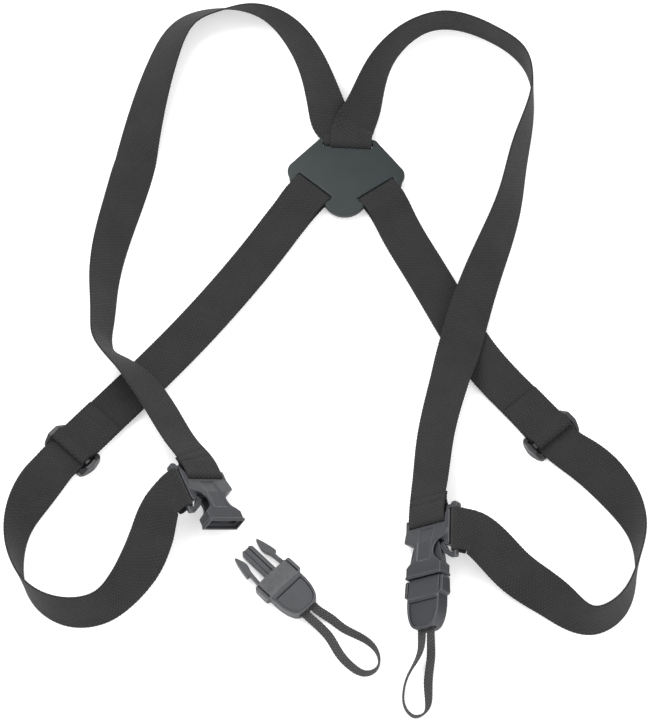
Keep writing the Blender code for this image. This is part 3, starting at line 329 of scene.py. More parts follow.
CORD_RIGHT_ROUTE = [
    (53, -183, 6, 55), (46, -196, 1, 80), (43.5, -206, 0, 90), (44.5, -214, 0, 92),
    (50, -219, 0, 95), (55.5, -216.5, 0, 105), (57.5, -209, 0, 135), (57.5, -198, 0.5, 160),
    (59, -186, 4, 155)]
SHOULDER_END_ROLL = {-1: -217.0, 1: 220.0}
SIDE_END_ROLL = {-1: -201.0, 1: 172.0}


# ---- materials ----------------------------------------------------------------------------------

def new_material(name):
    """An empty Principled material: its tree and its shader."""
    made = bpy.data.materials.new(name)
    made.use_nodes = True
    return made, made.node_tree, made.node_tree.nodes["Principled BSDF"]


def fill(tree, node, inputs):
    """Set a node's inputs, each to a value or to another node's output."""
    for key, value in inputs:
        if isinstance(value, bpy.types.NodeSocket):
            tree.links.new(value, node.inputs[key])
        else:
            node.inputs[key].default_value = value


def add_node(tree, kind, inputs=(), **settings):
    """A node with its settings and its inputs."""
    node = tree.nodes.new(kind)
    for key, value in settings.items():
        setattr(node, key, value)
    fill(tree, node, inputs)
    return node


def calc(tree, operation, *values):
    """The output of a Math node."""
    return add_node(tree, "ShaderNodeMath", enumerate(values), operation=operation).outputs[0]


def blend_colours(tree, share, first, second):
    """A colour between two, by share."""
    node = add_node(tree, "ShaderNodeMix", [(0, share), (6, first), (7, second)], data_type="RGBA")
    return node.outputs[2]


def noise(tree, vector, scale, detail=2.0):
    """The value of a noise texture."""
    inputs = [("Vector", vector), ("Scale", scale), ("Detail", detail)]
    return add_node(tree, "ShaderNodeTexNoise", inputs).outputs[0]


def ramp(tree, value, low, high, first=0.0, last=1.0):
    """value from low..high mapped to first..last, held at both ends."""
    inputs = enumerate((value, low, high, first, last))
    return add_node(tree, "ShaderNodeMapRange", inputs).outputs[0]


def object_place(tree):
    """A point's place in its object's own frame."""
    return add_node(tree, "ShaderNodeTexCoord").outputs["Object"]


def bumped(tree, height, strength, distance):
    """A normal tilted by a height, which reaches over a distance in millimetres."""
    inputs = [("Strength", strength), ("Distance", distance * MM), ("Height", height)]
    return add_node(tree, "ShaderNodeBump", inputs).outputs[0]


def grey(level, warmth=0.0):
    """A linear grey, warmer or cooler."""
    return (level * (1 + warmth), level, level * (1 - warmth), 1.0)


def woven_material(name, width, thick, columns, pitch, low, high, warmth):
    """Woven cloth: staggered lumps in columns, fine fibres along them and a slow random change of tone. Lump
    tops are painted lighter as a painted highlight, hollows darker as painted shade.
    """
    made, tree, shader = new_material(name)
    half = width / 2 - thick / 2
    wide = 2 * half / columns
    place = add_node(tree, "ShaderNodeAttribute", attribute_name="weave").outputs["Vector"]
    split = add_node(tree, "ShaderNodeSeparateXYZ", [(0, place)])
    across = calc(tree, "DIVIDE", calc(tree, "ADD", split.outputs[0], half), wide)
    parity = calc(tree, "FLOORED_MODULO", calc(tree, "FLOOR", across), 2.0)
    phase = calc(tree, "ADD", calc(tree, "DIVIDE", split.outputs[1], pitch),
                 calc(tree, "MULTIPLY", parity, STAGGER))
    phase = calc(tree, "ADD", phase, calc(tree, "MULTIPLY", split.outputs[2], FACE_SHIFT))
    lump = calc(tree, "MULTIPLY_ADD", calc(tree, "COSINE", calc(tree, "MULTIPLY", phase, 2 * math.pi)),
                0.5, 0.5)
    ridge = calc(tree, "ABSOLUTE", calc(tree, "SINE", calc(tree, "MULTIPLY", across, math.pi)))
    weave = calc(tree, "MULTIPLY", lump, calc(tree, "POWER", ridge, 0.6))
    stretch = add_node(tree, "ShaderNodeMapping", [("Vector", place), ("Scale", FIBRE_STRETCH)])
    fibres = noise(tree, stretch.outputs[0], FIBRE_SCALE, 3.0)
    shade = noise(tree, place, SHADE_SCALE)
    speckle = noise(tree, place, SPECKLE_SCALE)
    dark = blend_colours(tree, ramp(tree, shade, *NARROW_SPREAD), grey(low * 0.85, warmth),
                         grey(low * 1.15, warmth))
    light = blend_colours(tree, ramp(tree, speckle, *NARROW_SPREAD), grey(high * 0.75, warmth),
                          grey(high * 1.2, warmth))
    # Lump tops take the lighter colour and hollows the darker: a painted highlight on the weave and painted
    # shade between its lumps.
    lump_highlight = calc(tree, "MULTIPLY", weave, ramp(tree, fibres, *SPREAD, 0.55, 1.0))
    height = calc(tree, "MULTIPLY_ADD", fibres, 0.35, weave)
    fill(tree, shader, [("Base Color", blend_colours(tree, lump_highlight, dark, light)),
                        ("Roughness", ramp(tree, fibres, *SPREAD, 0.92, 0.74)),
                        ("Sheen Weight", 0.06), ("Sheen Roughness", 0.5), ("Specular IOR Level", 0.2),
                        ("Normal", bumped(tree, height, strength=0.7, distance=0.25))])
    return made


def plastic_material(name, colour, edge_wear_and_highlight, roughness, specular):
    """Moulded plastic: fine grain, a slow change of tone, and convex edges painted paler, partly as wear and
    partly as a painted highlight.
    """
    made, tree, shader = new_material(name)
    place = object_place(tree)
    tone = noise(tree, place, TONE_SCALE)
    grain = noise(tree, place, GRAIN_SCALE)
    scuff = noise(tree, place, SCUFF_SCALE, 3.0)
    deep = tuple(DEEP_SHARE * part for part in colour)
    base = blend_colours(tree, ramp(tree, tone, *SPREAD), (*deep, 1.0), (*colour, 1.0))
    # Convex edges lightened: partly scuffed wear, partly a painted highlight where edges catch the light.
    edge = add_node(tree, "ShaderNodeNewGeometry").outputs["Pointiness"]
    edge_wear_and_highlight_share = calc(tree, "MULTIPLY", ramp(tree, edge, *EDGE_RANGE), ramp(tree, scuff, 0.4, 0.7, 0.4, 1.0))
    rough = calc(tree, "ADD", ramp(tree, scuff, *SPREAD, -0.05, 0.07), roughness)
    fill(tree, shader, [("Base Color", blend_colours(tree, edge_wear_and_highlight_share, base, (*edge_wear_and_highlight, 1.0))),
                        ("Specular IOR Level", specular), ("Roughness", rough),
                        ("Normal", bumped(tree, grain, strength=0.35, distance=0.05))])
    return made


def thread_material():
    """Twisted sewing thread."""
    made, tree, shader = new_material("thread")
    inputs = [("Vector", object_place(tree)), ("Scale", TWIST_SCALE), ("Distortion", 1.0)]
    strand = add_node(tree, "ShaderNodeTexWave", inputs, bands_direction="DIAGONAL").outputs["Fac"]
    fill(tree, shader, [("Base Color", blend_colours(tree, strand, grey(0.012), grey(0.034))),
                        ("Roughness", ramp(tree, strand, 0.0, 1.0, 0.7, 0.5)),
                        ("Normal", bumped(tree, strand, strength=0.5, distance=0.1))])
    return made


def crimp_material():
    """Pressed aluminium with fine rubbing marks."""
    made, tree, shader = new_material("crimp_metal")
    inputs = [("Vector", object_place(tree)), ("Scale", MARKS_STRETCH)]
    marks = noise(tree, add_node(tree, "ShaderNodeMapping", inputs).outputs[0], 1.0, 3.0)
    fill(tree, shader, [("Base Color", blend_colours(tree, marks, grey(0.42), grey(0.6))),
                        ("Roughness", ramp(tree, marks, *SPREAD, 0.28, 0.45)), ("Metallic", 1.0)])
    return made


def floor_material():
    """A plain white table that glows a little, so that its shadows stay faint."""
    made, tree, shader = new_material("pale_table")
    mottle = noise(tree, object_place(tree), MOTTLE_SCALE, 3.0)
    fill(tree, shader, [("Base Color", blend_colours(tree, mottle, grey(0.86), grey(0.9))),
                        ("Roughness", 0.8), ("Specular IOR Level", 0.1),
                        ("Emission Color", (1.0, 1.0, 1.0, 1.0)), ("Emission Strength", 0.3)])
    return made


# ---- placing and simple solids ------------------------------------------------------------------

def place_matrix(place):
    """The world matrix, in millimetres, of a (position, (turn, pitch, roll)) pair."""
    position, (turn, pitch, roll) = place
    rotation = (Euler((0, 0, math.radians(turn))).to_matrix()
                @ Euler((math.radians(pitch), 0, 0)).to_matrix()
                @ Euler((0, math.radians(roll), 0)).to_matrix())
    return Matrix.Translation(Vector(position) + PLAN_SHIFT) @ rotation.to_4x4()


def in_metres(matrix):
    """The same placement with its translation in metres."""
    made = matrix.copy()
    made.translation = matrix.translation * MM
    return made


def add_object(name, data, matrix=None):
    """An object in the scene, placed by a matrix in millimetres."""
    made = bpy.data.objects.new(name, data)
    bpy.context.scene.collection.objects.link(made)
    if matrix is not None:
        made.matrix_world = in_metres(matrix)
    return made


def add_mesh(name, points, faces, look=None):
    """A mesh object from points in millimetres."""
    mesh = bpy.data.meshes.new(name)
    mesh.from_pydata((np.array([tuple(p) for p in points], float) * MM).tolist(), [], faces)
    mesh.update()
    if look:
        mesh.materials.append(look)
    return add_object(name, mesh)


def between(near, far):
    """A closed solid between two outlines with the same number of points."""
    count = len(near)
    faces = [tuple(reversed(range(count))), tuple(range(count, 2 * count))]
    faces += [(i, (i + 1) % count, count + (i + 1) % count, count + i) for i in range(count)]
    return add_mesh("solid", near + far, faces)


def slab(outline, low, high):
    """A prism on an outline of (x, y) points that runs anticlockwise, from z low to z high."""
    return between([(x, y, low) for x, y in outline], [(x, y, high) for x, y in outline])


def level_slab(outline, half_high=CUTTER_REACH):
    """A prism on an outline, as far above the middle as below it."""
    return slab(outline, -half_high, half_high)


def prism(outline, half_long):
    """A prism along X on an outline of (y, z) points that runs anticlockwise as seen from +X."""
    return between([(-half_long, y, z) for y, z in outline], [(half_long, y, z) for y, z in outline])


def rod(middle, angle, half_long, thick, wide, height=0.0):
    """A bar with rounded edges along a direction in the XY plane."""
    flat, radius = (wide - thick) / 2, thick / 2
    section = (arc((flat, height), radius, -90, 90, ROD_STEPS)
               + arc((-flat, height), radius, 90, 270, ROD_STEPS))
    if flat == 0:
        section = section[:ROD_STEPS] + section[ROD_STEPS + 1:-1]
    made = prism(section, half_long)
    for corner in made.data.vertices:
        x, y = turned([(corner.co.x / MM, corner.co.y / MM)], angle, middle)[0]
        corner.co = Vector((x * MM, y * MM, corner.co.z))
    return made


def box_outline(left, right, back, front):
    """The outline of a rectangle."""
    return [(left, back), (right, back), (right, front), (left, front)]


def arc(centre, radius, first, last, steps):
    """Points along an arc, both ends included."""
    angles = [math.radians(first + (last - first) * i / steps) for i in range(steps + 1)]
    return [(centre[0] + radius * math.cos(a), centre[1] + radius * math.sin(a)) for a in angles]


def mirrored(half):
    """A closed outline from its right half, which is listed from back to front."""
    return half + [(-x, y) for x, y in reversed(half) if x > 0]


def flipped(outline):
    """The outline's mirror image in the Y axis."""
    return [(-x, y) for x, y in reversed(outline)]


def there_and_back(points):
    """A line that ends on the X axis, carried on as its own mirror image."""
    return points + [(x, -y) for x, y in reversed(points[:-1])]


def turned(outline, angle, centre):
    """An outline turned about the origin and then moved."""
    cosine, sine = math.cos(math.radians(angle)), math.sin(math.radians(angle))
    return [(centre[0] + x * cosine - y * sine, centre[1] + x * sine + y * cosine) for x, y in outline]


def rounded(points, steps=5):
    """An open smooth curve through points."""
    made = []
    for i in range(len(points) - 1):
        p0, p1, p2 = points[max(i - 1, 0)], points[i], points[i + 1]
        p3 = points[min(i + 2, len(points) - 1)]
        for k in range(steps):
            t = k / steps
            made.append(tuple(0.5 * (2 * b + (c - a) * t + (2 * a - 5 * b + 4 * c - d) * t * t
                                     + (3 * b - a - 3 * c + d) * t ** 3)
                              for a, b, c, d in zip(p0, p1, p2, p3)))
    return made + [points[-1]]


def ease(value):
    """A smooth step from 0 to 1."""
    value = min(max(value, 0.0), 1.0)
    return value * value * (3.0 - 2.0 * value)


def moulded(name, solids, cutters, look, matrix, voxel, rounds, more=()):
    """One moulded piece: solids joined, cutters taken out, more joined, and all edges rounded."""
    base = solids[0]
    steps = ([("UNION", solid) for solid in solids[1:]] + [("DIFFERENCE", cutter) for cutter in cutters]
             + [("UNION", solid) for solid in more])
    for operation, other in steps:
        step = base.modifiers.new(operation, "BOOLEAN")
        step.operation = operation
        step.solver = "EXACT"
        step.object = other
    remesh = base.modifiers.new("remesh", "REMESH")
    remesh.mode = "VOXEL"
    remesh.voxel_size = voxel * MM
    remesh.use_smooth_shade = True
    base.modifiers.new("smooth", "SMOOTH").iterations = rounds
    base.modifiers.new("thin", "DECIMATE").ratio = KEPT_TRIANGLES
    seen = base.evaluated_get(bpy.context.evaluated_depsgraph_get())
    mesh = bpy.data.meshes.new_from_object(seen)
    for spare in [base] + [other for _, other in steps]:
        bpy.data.objects.remove(spare)
    mesh.name = name
    mesh.shade_smooth()
    mesh.materials.clear()
    mesh.materials.append(look)
    return add_object(name, mesh, matrix)


def finish_piece(piece, body, slot, *nodes):
    """Tie a piece to its body and hide the CAD nodes that it stands for. slot is not used."""
    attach(piece, body)
    if nodes:
        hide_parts(*nodes)
    return piece


# ---- straps -------------------------------------------------------------------------------------

def natural_spline(knots, values):
    """Second derivatives of the natural cubic spline through values at knots."""
    count = len(knots)
    gaps = [knots[i + 1] - knots[i] for i in range(count - 1)]
    slopes = [(values[i + 1] - values[i]) / gaps[i] for i in range(count - 1)]
    upper, rest = [0.0] * count, [0.0] * count
    for i in range(1, count - 1):
        pivot = 2.0 * (gaps[i - 1] + gaps[i]) - gaps[i - 1] * upper[i - 1]
        upper[i] = gaps[i] / pivot
        rest[i] = (6.0 * (slopes[i] - slopes[i - 1]) - gaps[i - 1] * rest[i - 1]) / pivot
    bends = [0.0] * count
    for i in range(count - 2, 0, -1):
        bends[i] = rest[i] - upper[i] * bends[i + 1]
    return bends


def locate(knots, where):
    """The stretch between knots that holds a place, its length and the share of it passed."""
    i = 0
    while i < len(knots) - 2 and where > knots[i + 1]:
        i += 1
    gap = knots[i + 1] - knots[i]
    return i, gap, (where - knots[i]) / gap


def spline_at(knots, values, bends, where):
    """The spline's value at one place."""
    i, gap, b = locate(knots, where)
    a = 1.0 - b
    return (a * values[i] + b * values[i + 1]
            + ((a ** 3 - a) * bends[i] + (b ** 3 - b) * bends[i + 1]) * gap * gap / 6.0)


def steady_slopes(knots, values):
    """Slopes of the cubic curve that never swings past its values."""
    count = len(knots)
    rises = [(values[i + 1] - values[i]) / (knots[i + 1] - knots[i]) for i in range(count - 1)]
    slopes = [0.0] * count
    for i in range(1, count - 1):
        if rises[i - 1] * rises[i] > 0.0:
            slopes[i] = 2.0 * rises[i - 1] * rises[i] / (rises[i - 1] + rises[i])
    return slopes


def steady_at(knots, values, slopes, where):
    """The steady curve's value at one place."""
    i, gap, t = locate(knots, where)
    return (values[i] * (1 + 2 * t) * (1 - t) ** 2 + slopes[i] * gap * t * (1 - t) ** 2
            + values[i + 1] * t * t * (3 - 2 * t) + slopes[i + 1] * gap * t * t * (t - 1))


def resting_height(roll, width, thick):
    """Height of a strap's middle when its lower edge touches the table."""
    edge = math.sqrt(math.sin(roll) ** 2 + EDGE_SOFTNESS ** 2)
    return width / 2.0 * edge + thick / 2.0 * abs(math.cos(roll))


class Bar:
    """A bar that a strap's end is folded round: middle, axis on the strap's A side, way out.

    The strap runs straight for a while and then closes up on its folded end over the settle length.
    """

    def __init__(self, middle, axis, out, thick, wide, straight, settle, roll=0.0, above=False, layer=0):
        self.middle = Vector(middle)
        self.axis = Vector(axis).normalized()
        flat = Vector(out) - Vector(out).dot(self.axis) * self.axis
        self.out = flat.normalized()
        self.layer = layer
        self.straight, self.settle = straight, settle
        self.roll, self.above = math.radians(roll), above
        self.radius = thick / 2.0 + GAP + STRAP_THICK / 2.0 + layer * LAYER
        self.flat = max(wide - thick, 0.0) / 2.0

    def fold_distance(self, away):
        """Distance between the main layer and the folded end, some way out from the bar."""
        closing = 0.0 if self.layer else ease((away - self.straight) / self.settle)
        return 2.0 * self.radius + (LAYER - 2.0 * self.radius) * closing


class Strap:
    """Rows along a strap's middle: place, direction across to the A edge, and normal."""

    def __init__(self, route, width, thick, first=None, last=None):
        self.width, self.thick = width, thick
        controls = [(Vector((x, y, lift)) + PLAN_SHIFT, math.radians(roll)) for x, y, lift, roll in route]
        if first:
            controls[:0] = self.controls_over(first, first.out)
        if last:
            controls += reversed(self.controls_over(last, -last.out))
        knots = [0.0]
        for (p, _), (q, _) in zip(controls, controls[1:]):
            knots.append(knots[-1] + (q - p).length)
        plan = [[p.x for p, _ in controls], [p.y for p, _ in controls]]
        bends = [natural_spline(knots, lane) for lane in plan]
        stance = [[p.z for p, _ in controls], [roll for _, roll in controls]]
        slopes = [steady_slopes(knots, lane) for lane in stance]
        count = max(int(knots[-1] / STEP), 4)
        self.spots = [knots[-1] * i / count for i in range(count + 1)]
        samples = [[spline_at(knots, lane, bend, s) for lane, bend in zip(plan, bends)]
                   + [steady_at(knots, lane, slope, s) for lane, slope in zip(stance, slopes)]
                   for s in self.spots]
        self.middles = [Vector((x, y, lift + resting_height(roll, width, thick)))
                        for x, y, lift, roll in samples]
        self.rows = []
        for i, sample in enumerate(samples):
            before, after = self.middles[max(i - AIM_ROWS, 0)], self.middles[min(i + AIM_ROWS, count)]
            travel = (after - before).normalized()
            side = Vector((-travel.y, travel.x, 0)).normalized()
            across = math.cos(sample[3]) * side + math.sin(sample[3]) * travel.cross(side)
            if first:
                away = self.spots[i] - first.straight
                across = across.lerp(first.axis, 1.0 - ease(away / first.settle))
            if last:
                away = self.spots[-1] - self.spots[i] - last.straight
                across = across.lerp(last.axis, 1.0 - ease(away / last.settle))
            across.normalize()
            normal = travel.cross(across)
            across *= min(1.0 / normal.length, WIDEST_SLANT)
            normal.normalize()
            lowest = self.middles[i].z - abs(across.z) * width / 2.0 - abs(normal.z) * thick / 2.0
            lowered = self.middles[i] - Vector((0, 0, min(lowest, 0.0)))
            self.rows.append((lowered, across, normal))
        self.first, self.last = first, last

    def controls_over(self, bar, travel):
        """Two controls: where the main layer passes a bar, above or below it, and just outside it."""
        normal = travel.cross(bar.axis) * (1.0 if bar.above else -1.0)
        made = []
        for away in (0.0, bar.straight):
            place = bar.middle + normal * bar.radius + bar.out * away
            place.z -= resting_height(bar.roll, self.width, self.thick)
            made.append((place, bar.roll))
        return made

    def row_at(self, where):
        """The row at any place along the strap."""
        i = min(int(where / self.spots[1]), len(self.spots) - 2)
        share = where / self.spots[1] - i
        place, across, normal = (a.lerp(b, share) for a, b in zip(self.rows[i], self.rows[i + 1]))
        return (place, across.normalized(), normal.normalized())

    def offset_row(self, i, distance):
        """One row moved along its normal."""
        place, across, normal = self.rows[i]
        return (place + normal * distance, across, normal)

    def turn_rows(self, bar, leaving):
        """Rows of the half turn round a bar, from the strap's main layer to the folded end."""
        out = bar.out
        travel = out if leaving else -out
        normal = travel.cross(bar.axis)
        side = 1.0 if bar.above else -1.0
        made = []
        for k in range(TURN_STEPS + 1):
            angle = math.pi * k / TURN_STEPS
            place = (bar.middle - out * bar.flat
                     + side * normal * bar.radius * math.cos(angle) - out * bar.radius * math.sin(angle))
            turned_normal = normal * math.cos(angle) - side * out * math.sin(angle)
            made.append((place, bar.axis, turned_normal))
        return made

    def folded_end(self, bar, leaving, tab):
        """Rows from the strap's main layer round the bar and back along the strap."""
        rows = self.turn_rows(bar, leaving)
        side = -1.0 if bar.above else 1.0
        length = self.spots[-1]
        near = [i for i, s in enumerate(self.spots) if FOLD_START < (s if leaving else length - s) <= tab]
        if not leaving:
            near.reverse()
        for i in near:
            away = self.spots[i] if leaving else length - self.spots[i]
            place, across, normal = self.offset_row(i, side * bar.fold_distance(away))
            rows.append((place, across, -normal))
        return rows

    def solid_rows(self, first_tab=0.0, last_tab=0.0):
        """All rows from one cut end to the other."""
        rows = []
        if self.first and first_tab:
            rows += list(reversed(self.folded_end(self.first, True, first_tab)))
        rows += list(self.rows)
        if self.last and last_tab:
            rows += self.folded_end(self.last, False, last_tab)
        return rows


def rows_length(rows):
    """The length along a list of rows."""
    return sum((b[0] - a[0]).length for a, b in zip(rows, rows[1:]))


def add_woven(name, rows, width, thick, look, columns, pitch, relief, creases=()):
    """Woven webbing along the rows: a closed solid with a staggered weave on both of its faces.

    creases are the places along it where both faces are pressed in.
    """
    places, sides, normals = (np.array([tuple(row[k]) for row in rows], float) for k in range(3))
    along = np.concatenate([[0.0], np.cumsum(np.linalg.norm(np.diff(places, axis=0), axis=1))])
    edge = thick / 2
    half = width / 2 - edge
    spans = np.linspace(half, -half, 2 * columns + 1)
    round_part = [math.radians(angle) for angle in SELVEDGE_ANGLES]
    ring_u = np.concatenate([spans, [-half - edge * math.cos(a) for a in round_part],
                             -spans, [half + edge * math.cos(a) for a in reversed(round_part)]])
    count = len(spans)
    rim = np.zeros(len(round_part))
    ring_face = np.concatenate([np.ones(count), rim, -np.ones(count), rim])
    ring_w = np.concatenate([np.full(count, edge), [edge * math.sin(a) for a in round_part],
                             np.full(count, -edge), [edge * math.sin(a) for a in reversed(round_part)]])
    column = (ring_u + half) / (2 * half / columns)
    parity = np.floor(column + 1e-6) % 2
    in_column = np.abs(column - np.round(column)) > 0.25
    phase = along[:, None] / pitch + STAGGER * parity[None, :] + FACE_SHIFT * ring_face[None, :]
    lump = 0.5 + 0.5 * np.cos(2 * math.pi * phase)
    height = np.where(in_column[None, :], VALLEY_SHARE + (1 - VALLEY_SHARE) * lump, VALLEY_SHARE)
    depth = relief * (1.0 - height) * ring_face[None, :]
    for crease in creases:
        pressed = CREASE_DEEP * np.exp(-((along - crease) / CREASE_HALF) ** 2)
        depth = depth + pressed[:, None] * ring_face[None, :]
    ripple = SELVEDGE_RELIEF * (np.cos(2 * math.pi * along / pitch) - 1.0)
    outer = np.where(ring_face == 0, np.sign(ring_u), 0.0)
    u = ring_u[None, :] + outer[None, :] * ripple[:, None]
    w = ring_w[None, :] - depth
    points = (places[:, None, :] + sides[:, None, :] * u[:, :, None]
              + normals[:, None, :] * w[:, :, None]).reshape(-1, 3)
    ring = len(ring_u)
    starts = np.arange(len(rows) - 1)[:, None] * ring
    here, after = np.arange(ring)[None, :], (np.arange(ring)[None, :] + 1) % ring
    quads = np.stack([starts + here, starts + after, starts + ring + after, starts + ring + here], axis=2)
    faces = [list(reversed(range(ring)))] + quads.reshape(-1, 4).tolist()
    faces.append([(len(rows) - 1) * ring + i for i in range(ring)])
    made = add_mesh(name, points, faces, look)
    made.data.shade_smooth()
    weave = made.data.attributes.new("weave", "FLOAT_VECTOR", "POINT")
    values = np.stack(np.broadcast_arrays(ring_u[None, :], along[:, None], ring_face[None, :]), axis=2)
    weave.data.foreach_set("vector", values.astype(np.float32).ravel())
    return made


def add_strap(name, rows, look, node, body="harness", creases=()):
    """One length of webbing: its mesh and the CAD node it stands for."""
    piece = add_woven(name, rows, STRAP_WIDTH, STRAP_THICK, look, STRAP_COLUMNS, STRAP_PITCH, STRAP_RELIEF,
                      creases)
    finish_piece(piece, body, "webbing", node)
    rows_length(rows) * MM
    return piece


# ---- stitching ----------------------------------------------------------------------------------

def add_stitches(name, lines, surface, look):
    """Rows of stitches. lines are ((u, v), (u, v)) pairs and surface gives a place and its normal."""
    points, faces = [], []
    for (u0, v0), (u1, v1) in lines:
        reach = math.hypot(u1 - u0, v1 - v0)
        count = max(int(round(reach / (STITCH_LONG + STITCH_GAP))), 1)
        for i in range(count):
            first = (i + 0.5 * STITCH_GAP / (STITCH_LONG + STITCH_GAP)) / count
            last = (i + 1 - 0.5 * STITCH_GAP / (STITCH_LONG + STITCH_GAP)) / count
            spine = []
            for k in range(STITCH_RINGS + 1):
                share = first + (last - first) * k / STITCH_RINGS
                place, normal = surface(u0 + (u1 - u0) * share, v0 + (v1 - v0) * share)
                dip = STITCH_DIP * (1.0 - math.sin(math.pi * k / STITCH_RINGS))
                spine.append((place + normal * (STITCH_LIFT - dip), normal))
            travel = (spine[-1][0] - spine[0][0]).normalized()
            start = len(points)
            for k, (place, normal) in enumerate(spine):
                side = travel.cross(normal).normalized()
                for j in range(STITCH_SIDES):
                    angle = 2 * math.pi * j / STITCH_SIDES
                    points.append(place + (side * math.cos(angle) + normal * math.sin(angle)) * STITCH_RADIUS)
                    if k:
                        a, b = start + (k - 1) * STITCH_SIDES, start + k * STITCH_SIDES
                        n = (j + 1) % STITCH_SIDES
                        faces.append((a + n, a + j, b + j, b + n))
            faces.append(tuple(start + j for j in range(STITCH_SIDES)))
            end = start + STITCH_RINGS * STITCH_SIDES
            faces.append(tuple(end + j for j in reversed(range(STITCH_SIDES))))
    made = add_mesh(name, points, faces, look)
    made.data.shade_smooth()
    return made


def add_tack(seam, side_name, body, back, front, surface, look):
    """Three lines of stitches side by side across a strap."""
    lines = [((-TACK_HALF_WIDE, v), (TACK_HALF_WIDE, v)) for v in (back, (back + front) / 2, front)]
    stitches = add_stitches(f"thread_{seam}_{side_name}", lines, surface, look)
    finish_piece(stitches, body, "thread", f"stitching_{seam}_{side_name}")


def add_end_tack(seam, side_name, strap, tack, look):
    """The tack that closes a strap's last folded end. tack is measured from the strap's last row."""
    far = strap.spots[-1]

    def surface(u, v):
        """A place on the folded end and its normal."""
        place, across, normal = strap.row_at(v)
        lift = strap.last.fold_distance(far - v) + STRAP_THICK / 2
        return place + across * u + normal * lift, normal

    add_tack(seam, side_name, "harness", far - tack[0], far - tack[1], surface, look)


# ---- yoke and adjusters -------------------------------------------------------------------------

def yoke_matrix():
    """The yoke plate's placement."""
    return place_matrix(((*YOKE_PLACE, YOKE_HEIGHT), (YOKE_TURN, 0.0, 0.0)))


def yoke_side_bar_frame(side):
    """Middle, axis along the bar and way out of a lower bar, in the plate's frame."""
    slope = math.radians(YOKE_SIDE_TURN)
    out = Vector((side * math.sin(slope), -math.cos(slope), 0))
    axis = Vector((math.cos(slope), side * math.sin(slope), 0))
    return Vector((side * YOKE_SIDE_BAR[0], YOKE_SIDE_BAR[1], 0)), axis, out


def make_yoke(look):
    """A domed three-way plate with one slot above and two below."""
    half = arc(*YOKE_LOWER_LOBE) + [YOKE_CORNER] + arc(*YOKE_SIDE_LOBE) + arc(*YOKE_TOP_CORNER)
    edge = YOKE_TOP_BAR_Y - YOKE_TOP_BAR_WIDE / 2
    top_slot = [(-YOKE_TOP_SLOT_HALF, edge - SLOT_WIDE), (-ONE_LAYER_HALF, edge - SLOT_WIDE),
                (-ONE_LAYER_HALF, edge - TWO_LAYER_SLOT_WIDE),
                (YOKE_TOP_SLOT_HALF, edge - TWO_LAYER_SLOT_WIDE),
                (YOKE_TOP_SLOT_HALF, BEYOND), (-YOKE_TOP_SLOT_HALF, BEYOND)]
    cutters = [level_slab(top_slot)]
    bars = [rod((0, YOKE_TOP_BAR_Y), 0, YOKE_TOP_SLOT_HALF + BAR_ROOT, YOKE_THICK, YOKE_TOP_BAR_WIDE)]
    for side in (-1, 1):
        middle = yoke_side_bar_frame(side)[0].xy
        angle = side * YOKE_SIDE_TURN
        opening = box_outline(-YOKE_SIDE_SLOT_HALF, YOKE_SIDE_SLOT_HALF, -YOKE_SIDE_SLOT_DEEP,
                              YOKE_SIDE_BAR_WIDE / 2 + SLOT_WIDE)
        cutters.append(level_slab(turned(opening, angle, middle)))
        bars.append(rod(middle, angle, YOKE_SIDE_SLOT_HALF + BAR_ROOT, YOKE_THICK, YOKE_SIDE_BAR_WIDE))
    plate = moulded("yoke_body", [level_slab(mirrored(half), YOKE_THICK / 2)], cutters, look, yoke_matrix(),
                    voxel=0.36, rounds=5, more=bars)
    for corner in plate.data.vertices:
        x, y, z = corner.co / MM
        bulge = (max(1.0 - (x / DOME_HALF_WIDE) ** 2, 0.0)
                 * max(1.0 - ((y - DOME_MIDDLE_Y) / DOME_HALF_LONG) ** 2, 0.0))
        if z > 0:
            corner.co.z += YOKE_DOME * ease(z / (YOKE_THICK / 2)) * bulge * MM
    return finish_piece(plate, "harness", "yoke_plastic", "yoke_plate")


def make_adjuster(side_name, side, place, look):
    """A slide adjuster: two low outer bars, a raised centre bar, and a D-shaped rail on its inner end."""
    reach = ADJUSTER_HALF_LONG
    bow, low_bow, hole = (rounded(there_and_back(line)) for line in (RAIL_BOW, LOW_BOW, RAIL_HOLE))
    # A low plastic sheet fills the D-shaped rail's opening as painted shade; the hole is cut only above it.
    shade_sheet = box_outline(SHADE_SHEET_INSIDE, RAIL_INSIDE + 1, -reach, reach)
    right, left = (bow, low_bow) if side < 0 else (low_bow, bow)
    if side > 0:
        hole, shade_sheet = flipped(hole), flipped(shade_sheet)
    solids = [slab(right, OUTER_BAR_LOW, RAIL_HIGH), slab(flipped(left), OUTER_BAR_LOW, RAIL_HIGH)]
    for low, high in ((-reach, OUTER_BAR_WIDE - reach), (reach - OUTER_BAR_WIDE, reach)):
        outline = box_outline(-RAIL_INSIDE - 1, RAIL_INSIDE + 1, low, high)
        solids.append(slab(outline, OUTER_BAR_LOW, OUTER_BAR_HIGH))
    solids.append(slab(shade_sheet, OUTER_BAR_LOW, SHADE_SHEET_HIGH))
    cutters = [slab(hole, SHADE_SHEET_HIGH, CUTTER_REACH)]
    cutters += [prism(fall, RAIL_FALL_REACH) for fall in (flipped(RAIL_FALL), RAIL_FALL)]
    bar = rod((0, 0), 0, RAIL_INSIDE + RAIL_ROOT, CENTRE_BAR_THICK, CENTRE_BAR_WIDE, CENTRE_BAR_MIDDLE)
    piece = moulded("adjuster_frame_" + side_name, solids, cutters, look, place_matrix(place), voxel=0.25,
                    rounds=3, more=[bar])
    return finish_piece(piece, "adjuster_" + side_name, "moulded_plastic", "slide_adjuster_" + side_name)


# ---- buckles ------------------------------------------------------------------------------------

